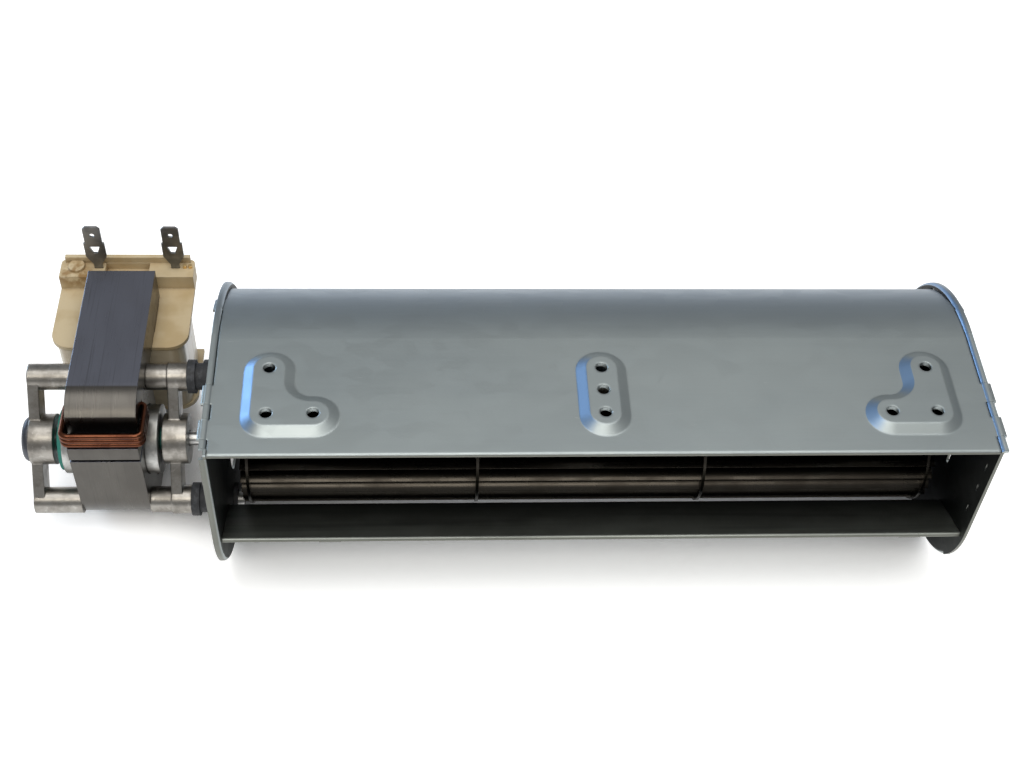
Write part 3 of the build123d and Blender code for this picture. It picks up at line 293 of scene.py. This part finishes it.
class Value:
    """An output socket that takes part in Python expressions by adding Math nodes."""

    def __init__(self, finish, socket):
        self.finish = finish
        self.socket = socket

    def _math(self, operation, *terms):
        return self.finish.node(
            "ShaderNodeMath", {"operation": operation}, dict(enumerate(terms)))

    def __add__(self, other):
        return self._math("ADD", self, other)

    def __radd__(self, other):
        return self._math("ADD", other, self)

    def __sub__(self, other):
        return self._math("SUBTRACT", self, other)

    def __rsub__(self, other):
        return self._math("SUBTRACT", other, self)

    def __mul__(self, other):
        return self._math("MULTIPLY", self, other)

    def __rmul__(self, other):
        return self._math("MULTIPLY", other, self)

    def __truediv__(self, other):
        return self._math("DIVIDE", self, other)

    def __gt__(self, other):
        return self._math("GREATER_THAN", self, other)

    def __lt__(self, other):
        return self._math("LESS_THAN", self, other)

    def lowest(self, other):
        return self._math("MINIMUM", self, other)

    def highest(self, other):
        return self._math("MAXIMUM", self, other)

    def fraction(self):
        return self._math("FRACT", self)

    def rise(self, low, high):
        """0 below low, 1 above high, and a smooth climb between them."""
        return self.finish.node(
            "ShaderNodeMapRange", {"interpolation_type": "SMOOTHSTEP"},
            {"Value": self, "From Min": low, "From Max": high})


class Finish:
    """A material, built from its nodes."""

    def __init__(self, name):
        self.material = bpy.data.materials.new(name)
        self.material.use_nodes = True
        self.tree = self.material.node_tree
        self.tree.nodes.clear()
        self.place = self.node("ShaderNodeTexCoord", output="Object")

    def node(self, kind, options=None, inputs=None, output=0):
        """Adds a node: its options first, then its inputs' values or links."""
        made = self.tree.nodes.new(kind)
        for key, value in (options or {}).items():
            setattr(made, key, value)
        for key, value in (inputs or {}).items():
            if isinstance(value, Value):
                self.tree.links.new(value.socket, made.inputs[key])
            else:
                made.inputs[key].default_value = value
        return Value(self, made.outputs[output]) if made.outputs else None

    def mix(self, first, second, factor):
        """A colour between two colours."""
        tone = {}
        for key, value in ((6, first), (7, second)):
            tone[key] = value if isinstance(value, Value) else (*value, 1.0)
        return self.node(
            "ShaderNodeMix", {"data_type": "RGBA"}, {0: factor, **tone}, output=2)

    def stretched(self, stretch):
        """The object's own coordinates, scaled along each axis."""
        return self.node(
            "ShaderNodeVectorMath", {"operation": "MULTIPLY"}, {0: self.place, 1: stretch})

    def noise(self, size, stretch=(1.0, 1.0, 1.0), detail=2.0, roughness=0.5):
        """Cloudy noise whose features are about size metres across."""
        return self.node(
            "ShaderNodeTexNoise", None,
            {"Vector": self.stretched(stretch), "Scale": 1.0 / size, "Detail": detail,
             "Roughness": roughness})

    def cells(self, size, stretch=(1.0, 1.0, 1.0), output="Distance"):
        """Cells about size metres across."""
        return self.node(
            "ShaderNodeTexVoronoi", None,
            {"Vector": self.stretched(stretch), "Scale": 1.0 / size}, output=output)

    def along(self, axis):
        """The distance along an axis, in metres."""
        return self.node("ShaderNodeSeparateXYZ", None, {0: self.place}, output=axis)

    def facing(self, axis):
        """How much the surface faces an axis, from -1 to 1."""
        normal = self.node("ShaderNodeNewGeometry", output="Normal")
        return self.node("ShaderNodeSeparateXYZ", None, {0: normal}, output=axis)

    def near(self, point, reach):
        """1 at a point, fading to 0 at reach metres from it."""
        gap = self.node("ShaderNodeVectorMath", {"operation": "DISTANCE"},
                        {0: self.place, 1: point}, output="Value")
        return gap.rise(reach, 0.0)

    def bands(self, period, axis):
        """A wave with one crest every period metres."""
        return self.node(
            "ShaderNodeMath", {"operation": "SINE"},
            {0: self.along(axis) * (2.0 * math.pi / period)}) * 0.5 + 0.5

    def crevice(self, reach):
        """1 in corners and gaps narrower than about reach metres, 0 in the open."""
        # Ambient occlusion: the finishes use it to paint shade into corners and gaps, and the floor
        # uses it to paint a shadow near the fan.
        return 1.0 - self.node(
            "ShaderNodeAmbientOcclusion", {"samples": 8}, {"Distance": reach}, output="AO")

    def bump(self, height, depth, strength, edge=0.0):
        """A normal that is raised by height times depth metres, with edges rounded to edge."""
        inputs = {"Height": height, "Distance": depth, "Strength": strength}
        if edge:
            inputs["Normal"] = self.node(
                "ShaderNodeBevel", {"samples": 6}, {"Radius": edge}, output="Normal")
        return self.node("ShaderNodeBump", None, inputs, output="Normal")

    def surface(self, **inputs):
        """Ends the material in a Principled shader. Underscores in names stand for spaces."""
        named = {key.replace("_", " ").title().replace("Ior", "IOR"): value
                 for key, value in inputs.items()}
        shader = self.node("ShaderNodeBsdfPrincipled", None, named)
        self.node("ShaderNodeOutputMaterial", None, {"Surface": shader})
        return self.material


def dress(names, material):
    """Gives the finish to CAD nodes."""
    for name in names:
        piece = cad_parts[name]
        if not piece.material_slots:
            piece.data.materials.append(material)
        for slot in piece.material_slots:
            slot.material = material


# ---------------------------------------------------------------- finishes

def zinc_sheet(name, run, inner_face, edge, mouth_painted_shade):
    """Zinc-coated sheet: rolling marks along the run axis, faint crystals, scuffs.

    inner_face(finish) gives 1 on the side that the air passes, where the duct's shade is painted,
    as the last argument's tone at the outlet and nearly black further in. Edges are rounded to
    edge metres.
    """
    s = settings("fan_housing")
    finish = Finish(name)
    stretch = [1.0, 1.0, 1.0]
    stretch[run] = 0.02
    grain = finish.noise(s.grain, stretch, detail=3.0, roughness=0.65)
    patches = finish.noise(0.045, (0.6, 1.0, 1.0), detail=3.0, roughness=0.55).rise(0.35, 0.68)
    crystals = finish.cells(s.spangle, (0.75, 1.1, 1.0), output="Color")
    crystal = finish.node("ShaderNodeSeparateColor", None, {0: crystals}, output=0)
    streaks = finish.noise(0.004, (0.05, 1.0, 1.0)).rise(0.45, 0.75)
    scuff_noise = finish.noise(0.0016, (0.16, 1.0, 1.0), detail=4.0, roughness=0.7)
    scuffs = scuff_noise.rise(0.66, 0.74) * finish.noise(0.03).rise(0.5, 0.62) * s.wear
    shade = (patches * 0.4 + crystal * 0.12 + streaks * 0.14 + grain * 0.2).lowest(1.0)
    tone = finish.mix(s.zinc, s.zinc_shade, shade)
    tone = finish.mix(tone, s.cut_edge, scuffs)
    # Painted reflection: behind the scroll's middle the sheet is tinted darker and bluish.
    rear = finish.along("Y").rise(s.scroll_centre_y - 0.003, s.scroll_centre_y + 0.03)
    tone = finish.mix(tone, s.rear_painted_reflection, rear * 0.8)
    # Painted reflection: blue on the slopes that face the motor's side and upward.
    left_slopes = (0.0 - finish.facing("X")).rise(0.22, 0.5) * finish.facing("Z").rise(0.3, 0.6)
    tone = finish.mix(tone, s.slope_painted_reflection, left_slopes * 0.75)
    # Painted shade inside the duct: faces that the air passes are darkened, lighter at the outlet
    # and nearly black further in, with streaks of dust.
    inside = inner_face(finish)
    mouth = finish.along("Y").rise(0.002, -0.022)
    dust_and_painted_shade = finish.mix(s.deep_painted_shade, mouth_painted_shade, mouth)
    dust_and_painted_shade = finish.mix(dust_and_painted_shade, s.dust_streaks, streaks * 0.3 + patches * 0.2)
    tone = finish.mix(tone, dust_and_painted_shade, inside)
    # Painted shade on the lower, forward-facing part of the hem.
    hem = (0.0 - finish.facing("Y")).rise(0.5, 0.9) * (finish.along("Z") < s.hem_line)
    tone = finish.mix(tone, s.hem_shade, hem * 0.9)
    # Painted shade in corners and gaps, from ambient occlusion.
    tone = finish.mix(tone, s.painted_corner_shade, finish.crevice(0.0025).rise(0.35, 0.95) * 0.85)
    relief = grain * 0.5 + crystal * 0.1 + patches * 0.4
    return finish.surface(
        base_color=tone, metallic=1.0,
        roughness=0.36 + grain * 0.12 + crystal * 0.05 - scuffs * 0.1 + inside * 0.1,
        normal=finish.bump(relief, 0.00004, 0.3, edge=edge))


def under_top_sheet(finish):
    """1 under the top sheet and inside its scroll, down to the lip.

    It goes by place alone, so it is also 1 on the outer face of the lower rear curve, where that
    curve runs inside the scroll's main circle.
    """
    s = settings("fan_housing")
    skin, hem, lip_drop = 0.0004, 0.0015, 0.06
    across = finish.along("Y") - s.scroll_centre_y
    down = finish.along("Z") - s.scroll_centre_z
    behind = across > 0.0
    inside_scroll = (across * across + down * down) < (s.scroll_radius - skin) ** 2
    below_flat = (finish.along("Z") < (s.sheet_top - skin)) * (
        finish.along("Y") > (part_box("upper_housing_sheet")[0][1] + hem))
    above_lip = finish.along("Z") > (s.sheet_top - lip_drop)
    return (behind * inside_scroll + (1.0 - behind) * below_flat) * above_lip


def above_lower_sheet(finish):
    """1 on the lower sheet's upper side."""
    return finish.facing("Z").rise(0.2, 0.7) * 0.85


def inside_plates(finish):
    """1 on the end plates' faces that look into the duct."""
    facing = finish.facing("X")
    return ((facing * finish.along("X")) < 0.0) * ((facing * facing) > 0.8)


def drawn_aluminium(name, run):
    """Thin aluminium strip with drawn marks along the run axis and dust in patches."""
    s = settings("fan_wheel")
    finish = Finish(name)
    stretch = [1.0, 1.0, 1.0]
    stretch[run] = 0.015
    marks = finish.noise(s.brushing, stretch, detail=3.0, roughness=0.7)
    dust = finish.noise(0.012, detail=3.0).rise(0.4, 0.7)
    # The two tones are darkened as painted shade of the duct over the whole wheel.
    tone = finish.mix(s.aluminium, s.aluminium_shade, dust * 0.5 + marks * 0.3)
    return finish.surface(
        base_color=tone, metallic=1.0, roughness=0.2 + marks * 0.12 + dust * 0.1,
        normal=finish.bump(marks, 0.00004, 0.35, edge=0.0002))


def stake_marks(finish):
    """1 in the row of punched stakes high on the stack's side that faces the housing."""
    s = settings("fan_motor")
    # The stakes are not in the solid: their hollows are painted as dark ovals, which is painted
    # shade.
    run = (finish.along("Y") - s.stakes_start_y) / s.stake_pitch
    across = (run.fraction() - 0.5) * (2.0 * s.stake_pitch / s.stake_width)
    up = (finish.along("Z") - s.stakes_z) / s.stake_width
    oval = (across * across + up * up) < 1.0
    return oval * (run > 0.0) * (run < STAKE_COUNT) * (finish.facing("X") > 0.5)


def laminated_steel(name, painted_top_and_stakes):
    """Stacked stator sheets: one faint line per sheet, small rust specks.

    The second argument is True for the stator: its upward faces get a painted bluish reflection,
    and the hollows of its punched stakes are painted dark as shade.
    """
    s = settings("fan_motor")
    finish = Finish(name)
    sheets = finish.bands(s.lamination, "X")
    uneven = finish.noise(s.lamination * 1.4, (1.0, 0.015, 0.015), detail=3.0, roughness=0.7)
    patches = finish.noise(0.009, (1.0, 0.5, 0.5), detail=3.0).rise(0.38, 0.66)
    specks = finish.noise(0.0009, detail=3.0).rise(0.7, 0.78) * 0.35
    tone = finish.mix(s.steel, s.steel_dull, patches * 0.5)
    if painted_top_and_stakes:
        # Painted reflection: bluish tint on faces that point straight up.
        top = finish.facing("Z").rise(0.994, 0.999)
        tone = finish.mix(tone, s.steel_top_painted_reflection, top)
    tone = finish.mix(tone, s.sheet_line, uneven.rise(0.52, 0.8) * 0.45)
    tone = finish.mix(tone, s.rust, specks)
    if painted_top_and_stakes:
        # Painted shade in the stakes' hollows.
        tone = finish.mix(tone, s.stake_shade, stake_marks(finish) * 0.95)
    # Painted shade in corners, from ambient occlusion.
    tone = finish.mix(tone, s.steel_painted_shade, finish.crevice(0.003).rise(0.3, 0.9) * 0.8)
    return finish.surface(
        base_color=tone, metallic=1.0, roughness=0.23 + uneven * 0.1 + patches * 0.04,
        normal=finish.bump(sheets * 0.5 + uneven, 0.00003, 0.4, edge=0.0004))


def bare_copper():
    """Thick copper wire, bright where it was rubbed and brown where it has tarnished."""
    s = settings("fan_motor")
    finish = Finish("bare_copper")
    tarnish = finish.noise(0.007, detail=3.0, roughness=0.55).rise(0.4, 0.65)
    draw = finish.noise(0.0003, (0.04, 1.0, 1.0))
    tone = finish.mix(s.copper, s.copper_dark, tarnish * 0.6)
    # Painted shade between the strands, from ambient occlusion.
    tone = finish.mix(tone, s.copper_painted_shade, finish.crevice(0.0012).rise(0.35, 0.85) * 0.9)
    return finish.surface(
        base_color=tone, metallic=1.0, roughness=0.17 + tarnish * 0.12 + draw * 0.06,
        normal=finish.bump(draw, 0.00002, 0.3))


def enamelled_winding():
    """Fine enamelled wire laid side by side round the coil."""
    s = settings("fan_motor")
    finish = Finish("enamelled_winding")
    turns = finish.bands(s.wire, "Z")
    waver = finish.noise(0.004)
    tone = finish.mix(s.enamel, s.enamel_shade, turns * 0.6 + waver * 0.3)
    return finish.surface(
        base_color=tone, metallic=0.7, roughness=0.28 + waver * 0.1,
        coat_weight=0.4, normal=finish.bump(turns, 0.0001, 0.6))


def moulded_plastic():
    """Cream moulded bobbin, fine-grained, yellowed in places."""
    s = settings("fan_motor")
    finish = Finish("moulded_plastic")
    aged = finish.noise(0.012, detail=3.0).rise(0.42, 0.72)
    grain = finish.noise(0.0005, detail=3.0, roughness=0.6)
    tone = finish.mix(s.plastic, s.plastic_shade, aged * 0.45 + grain * 0.12)
    # Painted shade in corners, from ambient occlusion.
    tone = finish.mix(tone, s.plastic_painted_shade, finish.crevice(0.004).rise(0.25, 0.9) * 0.7)
    blots = finish.noise(0.003, detail=3.0).rise(0.35, 0.6)
    stain = finish.near(s.stain_place, s.stain_reach).lowest(0.5) * 2.0 * blots
    tone = finish.mix(tone, s.stain, stain * 0.8)
    return finish.surface(
        base_color=tone, roughness=0.42 + grain * 0.18,
        normal=finish.bump(grain, 0.00006, 0.35, edge=0.0005))


def wound_tape():
    """Thin film tape over the coil, with overlapping turns and small creases."""
    s = settings("fan_motor")
    finish = Finish("wound_tape")
    turns = finish.bands(TAPE_WIDTH, "Y").rise(0.9, 1.0)
    creases = finish.noise(0.002, (0.25, 1.0, 1.0), detail=4.0, roughness=0.7)
    tone = finish.mix(s.tape, s.tape_shade, creases * 0.5 + turns * 0.4)
    return finish.surface(
        base_color=tone, roughness=0.24 + creases * 0.2, coat_weight=0.3,
        normal=finish.bump(creases + turns * 0.5, 0.0002, 0.6))


def die_casting(name, tone_light, tone_dull, roughness):
    """Die-cast skin: flow patches, fine pits, bright rubbed edges."""
    s = settings("fan_motor")
    finish = Finish(name)
    flow = finish.noise(0.006, detail=4.0, roughness=0.6).rise(0.35, 0.68)
    pits = finish.noise(0.0006, detail=3.0, roughness=0.65)
    rubbed = finish.noise(0.0022, (1.0, 0.4, 1.0), detail=3.0).rise(0.6, 0.72)
    tone = finish.mix(tone_light, tone_dull, flow * 0.7 + pits * 0.2)
    tone = finish.mix(tone, s.casting_rubbed, rubbed * 0.3)
    # Painted shade in corners and between parts, from ambient occlusion.
    tone = finish.mix(tone, s.casting_painted_shade, finish.crevice(0.008).rise(0.3, 0.9) * 0.85)
    return finish.surface(
        base_color=tone, metallic=1.0, roughness=roughness + flow * 0.1 + pits * 0.1,
        normal=finish.bump(pits + flow * 0.4, 0.0001, 0.4, edge=0.0007))


def plated_metal(name):
    """Plated or bare metal with fine marks all ways, dull in patches."""
    tone_bright, tone_dull, roughness = PLATED_METALS[name]
    finish = Finish(name)
    marks = finish.noise(0.0006, (1.0, 1.0, 0.3), detail=3.0, roughness=0.65)
    dull = finish.noise(0.004, detail=3.0).rise(0.4, 0.66)
    tone = finish.mix(tone_bright, tone_dull, dull * 0.6 + marks * 0.25)
    return finish.surface(
        base_color=tone, metallic=1.0, roughness=roughness + marks * 0.14 + dull * 0.08,
        normal=finish.bump(marks, 0.00005, 0.4, edge=0.00025))


def sintered_bronze():
    """Porous bronze bush, oiled dark in its pores."""
    s = settings("fan_motor")
    finish = Finish("sintered_bronze")
    pores = finish.cells(0.0004)
    oil = finish.noise(0.003, detail=3.0).rise(0.4, 0.65)
    tone = finish.mix(s.bronze, s.bronze_oiled, oil * 0.6 + (1.0 - pores) * 0.2)
    return finish.surface(
        base_color=tone, metallic=1.0, roughness=0.38 + oil * 0.15,
        normal=finish.bump(pores, 0.00008, 0.4))


def soft_rubber():
    """Black rubber grommet, chalky on its rubbed ribs."""
    s = settings("fan_motor")
    finish = Finish("soft_rubber")
    bloom = finish.noise(0.0025, detail=4.0, roughness=0.65).rise(0.45, 0.7)
    grain = finish.noise(0.0004)
    tone = finish.mix(s.rubber, s.rubber_bloom, bloom * 0.6 + grain * 0.15)
    return finish.surface(
        base_color=tone, roughness=0.5 + grain * 0.25,
        normal=finish.bump(grain + bloom * 0.5, 0.0001, 0.4))


def fibre_washer():
    """Teal pressed-fibre washer."""
    s = settings("fan_motor")
    finish = Finish("fibre_washer")
    fibres = finish.noise(0.0005, (1.0, 0.3, 1.0), detail=4.0, roughness=0.7)
    tone = finish.mix(s.fibre, s.fibre_shade, fibres)
    return finish.surface(
        base_color=tone, roughness=0.5 + fibres * 0.3,
        normal=finish.bump(fibres, 0.0001, 0.5))


# ---------------------------------------------------------------- operators

class FAN_OT_stage(bpy.types.Operator):
    """Sets the camera, the pale floor, the room and three softboxes"""

    bl_idname = "fan.stage"
    bl_label = "Stage"

    def softbox(self, name, stand_place, aim, size, watts, tone):
        """Stands a rectangular lamp at a place, turned to aim; size is its width and height."""
        lamp = bpy.data.lights.new(name, "AREA")
        lamp.shape = "RECTANGLE"
        lamp.size, lamp.size_y = size
        lamp.energy = watts
        lamp.color = tone
        stand = bpy.data.objects.new(name, lamp)
        stand.location = stand_place
        gaze = Vector(aim) - Vector(stand_place)
        stand.rotation_euler = gaze.to_track_quat("-Z", "Y").to_euler()
        bpy.context.scene.collection.objects.link(stand)

    def execute(self, context):
        s = settings("fan_stage")
        scene = context.scene
        camera = bpy.data.objects.new("camera", bpy.data.cameras.new("camera"))
        camera.data.sensor_width = 36.0
        camera.data.lens = s.camera_lens
        camera.data.clip_start = 0.01
        camera.location = s.camera_place
        camera.rotation_euler = s.camera_turn
        scene.collection.objects.link(camera)
        scene.camera = camera

        low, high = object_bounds()
        floor_mesh = bpy.data.meshes.new("floor")
        reach, level = s.floor_reach, low[2]
        floor_mesh.from_pydata(
            [(-reach, -reach, level), (reach, -reach, level), (reach, reach, level),
             (-reach, reach, level)], [], [(0, 1, 2, 3)])
        floor = bpy.data.objects.new("floor", floor_mesh)
        scene.collection.objects.link(floor)
        paper = Finish("floor_paper")
        seen = paper.node("ShaderNodeLightPath", output="Is Camera Ray").highest(
            paper.node("ShaderNodeLightPath", output="Is Glossy Ray")).highest(
            paper.node("ShaderNodeLightPath", output="Is Transmission Ray"))
        pale = paper.mix(s.floor_colour, s.floor_mottle, paper.noise(0.15))
        # Painted shadow: ambient occlusion takes the glow away near the fan.
        under = paper.crevice(s.shadow_reach).rise(0.5, 0.92)
        glow = paper.mix(BLACK, WHITE, seen * (1.0 - under))
        paper.surface(base_color=pale, roughness=0.9, specular_ior_level=0.0,
                      emission_color=glow, emission_strength=s.floor_glow)
        floor_mesh.materials.append(paper.material)
        floor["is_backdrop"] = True

        world = bpy.data.worlds.new("room")
        world.use_nodes = True
        room = world.node_tree.nodes["Background"]
        room.inputs["Color"].default_value = (*s.room_tone, 1.0)
        room.inputs["Strength"].default_value = s.studio_level
        scene.world = world
        scene.view_settings.view_transform = "Standard"

        aim = ((low[0] + high[0]) * 0.5, s.lamp_aim_y, s.lamp_aim_z)
        self.softbox("ceiling_softbox", s.ceiling_place, aim, (0.95, 0.6), s.ceiling_power,
                     s.ceiling_tone)
        self.softbox("window_softbox", s.window_place, aim, (0.7, 0.45), s.window_power,
                     s.window_tone)
        self.softbox("front_softbox", s.front_place, aim, (0.9, 0.35), s.front_power,
                     s.front_tone)
        return {"FINISHED"}


class FAN_OT_housing(bpy.types.Operator):
    """Gives the two housing sheets their zinc coat"""

    bl_idname = "fan.housing"
    bl_label = "Housing"

    def execute(self, context):
        s = settings("fan_housing")
        dress(["upper_housing_sheet"],
              zinc_sheet("zinc_top", 0, under_top_sheet, 0.001, s.top_painted_shade))
        dress(["lower_housing_sheet"],
              zinc_sheet("zinc_lower", 0, above_lower_sheet, 0.0005, s.lower_painted_shade))
        return {"FINISHED"}


class FAN_OT_plates(bpy.types.Operator):
    """Forms the end plates with their narrow, unbroken flanges over the sheet's tabs"""

    bl_idname = "fan.plates"
    bl_label = "End plates"

    def bridge(self, made, side, inner, top, ends):
        """Adds the flange's bent section between two places along Y, over a tab's window."""
        s = settings("fan_housing")
        bend = s.bend_radius
        outline = []
        for step in range(BEND_STEPS + 1):
            turn = math.radians(180.0 - 90.0 * step / BEND_STEPS)
            outline.append((bend + bend * math.cos(turn), bend * math.sin(turn) - bend))
        outline += [(s.flange_width, 0.0), (s.flange_width, -s.plate_thickness)]
        hollow = bend - s.plate_thickness
        for step in range(BEND_STEPS + 1):
            turn = math.radians(90.0 + 90.0 * step / BEND_STEPS)
            outline.append((bend + hollow * math.cos(turn), hollow * math.sin(turn) - bend))
        rings = [
            [made.verts.new((side * (inner + out), end, top + up)) for out, up in outline]
            for end in ends
        ]
        made.faces.new(rings[0])
        made.faces.new(reversed(rings[1]))
        count = len(outline)
        for index in range(count):
            follow = (index + 1) % count
            made.faces.new((rings[0][follow], rings[0][index], rings[1][index],
                            rings[1][follow]))

    def execute(self, context):
        s = settings("fan_housing")
        material = zinc_sheet("zinc_plate", 1, inside_plates, 0.0004, s.plate_painted_shade)
        for node, side in (("motor_end_plate", -1.0), ("far_end_plate", 1.0)):
            low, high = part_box(node)
            inner = min(abs(low[0]), abs(high[0]))
            bend_end = inner + s.bend_radius
            widest = max(abs(low[0]), abs(high[0])) - bend_end
            made = bmesh.new()
            made.from_mesh(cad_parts[node].data)
            for vertex in made.verts:
                beyond = vertex.co.x * side - bend_end
                if beyond > 0.0:
                    narrowed = beyond / widest * (s.flange_width - s.bend_radius)
                    vertex.co.x = side * (bend_end + narrowed)
            half = s.tab_window_width / 2.0
            for tab_y in (s.first_tab_y, s.second_tab_y):
                self.bridge(made, side, inner, high[2], (tab_y - half, tab_y + half))
            bmesh.ops.recalc_face_normals(made, faces=made.faces)
            mesh = bpy.data.meshes.new(node + "_formed")
            made.to_mesh(mesh)
            made.free()
            mesh.materials.append(material)
            piece = bpy.data.objects.new(node + "_formed", mesh)
            context.scene.collection.objects.link(piece)
            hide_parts(node)
            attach(piece, "housing")
        return {"FINISHED"}


class FAN_OT_wheel(bpy.types.Operator):
    """Finishes the impeller's blades, discs, hubs and far bearing"""

    bl_idname = "fan.wheel"
    bl_label = "Wheel"

    def execute(self, context):
        dress(["impeller_blades", "motor_side_disc", "far_side_disc", "middle_discs"],
              drawn_aluminium("drawn_aluminium", 0))
        dress(["drive_hub", "far_hub"], plated_metal("turned_hub"))
        dress(["far_bearing_bush"], soft_rubber())
        dress(["far_bearing"], sintered_bronze())
        return {"FINISHED"}


class FAN_OT_stator(bpy.types.Operator):
    """Finishes the laminated stator, its core and the copper shading rings"""

    bl_idname = "fan.stator"
    bl_label = "Stator"

    def execute(self, context):
        dress(["stator_stack", "coil_core"], laminated_steel("laminated_stator", True))
        dress(["upper_shading_rings", "lower_shading_rings"], bare_copper())
        return {"FINISHED"}


class FAN_OT_coil(bpy.types.Operator):
    """Finishes the coil: bobbin, winding, tape, terminals and pins"""

    bl_idname = "fan.coil"
    bl_label = "Coil"

    def execute(self, context):
        dress(["coil_bobbin"], moulded_plastic())
        dress(["coil_winding"], enamelled_winding())
        dress(["coil_tape"], wound_tape())
        dress(["winding_pins"], plated_metal("brass_pin"))
        dress(["terminal_tabs"], plated_metal("tinned_brass"))
        return {"FINISHED"}


class FAN_OT_bearings(bpy.types.Operator):
    """Finishes the cast brackets, bearings, retainers and caps"""

    bl_idname = "fan.bearings"
    bl_label = "Bearings"

    def execute(self, context):
        s = settings("fan_motor")
        dress(["outer_bearing_bracket", "inner_bearing_bracket"],
              die_casting("zinc_casting", s.casting, s.casting_shade, 0.24))
        dress(["outer_bearing", "inner_bearing"], sintered_bronze())
        dress(["outer_bearing_retainer", "inner_bearing_retainer"],
              plated_metal("spring_steel"))
        dress(["outer_bearing_cap"], plated_metal("dark_cap"))
        return {"FINISHED"}


class FAN_OT_rotor(bpy.types.Operator):
    """Finishes the rotor, its shaft and washers"""

    bl_idname = "fan.rotor"
    bl_label = "Rotor"

    def execute(self, context):
        s = settings("fan_motor")
        dress(["rotor_core"], laminated_steel("laminated_rotor", False))
        dress(["rotor_cage"], die_casting("cage_casting", s.cage, s.cage_shade, 0.26))
        dress(["motor_shaft", "drive_hub_screw"], plated_metal("ground_steel"))
        dress(["thrust_washer", "inner_washer"], fibre_washer())
        return {"FINISHED"}


class FAN_OT_fixings(bpy.types.Operator):
    """Finishes the stator bolts, mounting screws and grommets"""

    bl_idname = "fan.fixings"
    bl_label = "Fixings"

    def execute(self, context):
        dress(["stator_bolts", "mounting_screws"], plated_metal("zinc_plated_screw"))
        dress(["mounting_grommets"], soft_rubber())
        return {"FINISHED"}


# ---------------------------------------------------------------- panel and register

STEPS = ["stage", "housing", "plates", "wheel", "stator", "coil", "bearings", "rotor", "fixings"]


class FAN_PT_finishes(bpy.types.Panel):
    """Lists the fan's steps"""

    bl_idname = "FAN_PT_finishes"
    bl_label = "Cross Flow Fan"
    bl_space_type = "VIEW_3D"
    bl_region_type = "UI"
    bl_category = "Fan"

    def draw(self, context):
        for step in STEPS:
            self.layout.operator(f"fan.{step}")


SETTINGS = {
    "fan_stage": FanStageSettings,
    "fan_housing": FanHousingSettings,
    "fan_wheel": FanWheelSettings,
    "fan_motor": FanMotorSettings,
}
CLASSES = [
    *SETTINGS.values(),
    FAN_OT_stage, FAN_OT_housing, FAN_OT_plates, FAN_OT_wheel, FAN_OT_stator, FAN_OT_coil,
    FAN_OT_bearings, FAN_OT_rotor, FAN_OT_fixings, FAN_PT_finishes,
]


def register():
    for kind in CLASSES:
        bpy.utils.register_class(kind)
    for name, kind in SETTINGS.items():
        setattr(bpy.types.Scene, name, bpy.props.PointerProperty(type=kind))


def unregister():
    for name in SETTINGS:
        delattr(bpy.types.Scene, name)
    for kind in reversed(CLASSES):
        bpy.utils.unregister_class(kind)


def main():
    """Registers the add-on and runs every step."""
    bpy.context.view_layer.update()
    register()
    for step in STEPS:
        getattr(bpy.ops.fan, step)()


if __name__ == "__main__":
    main()
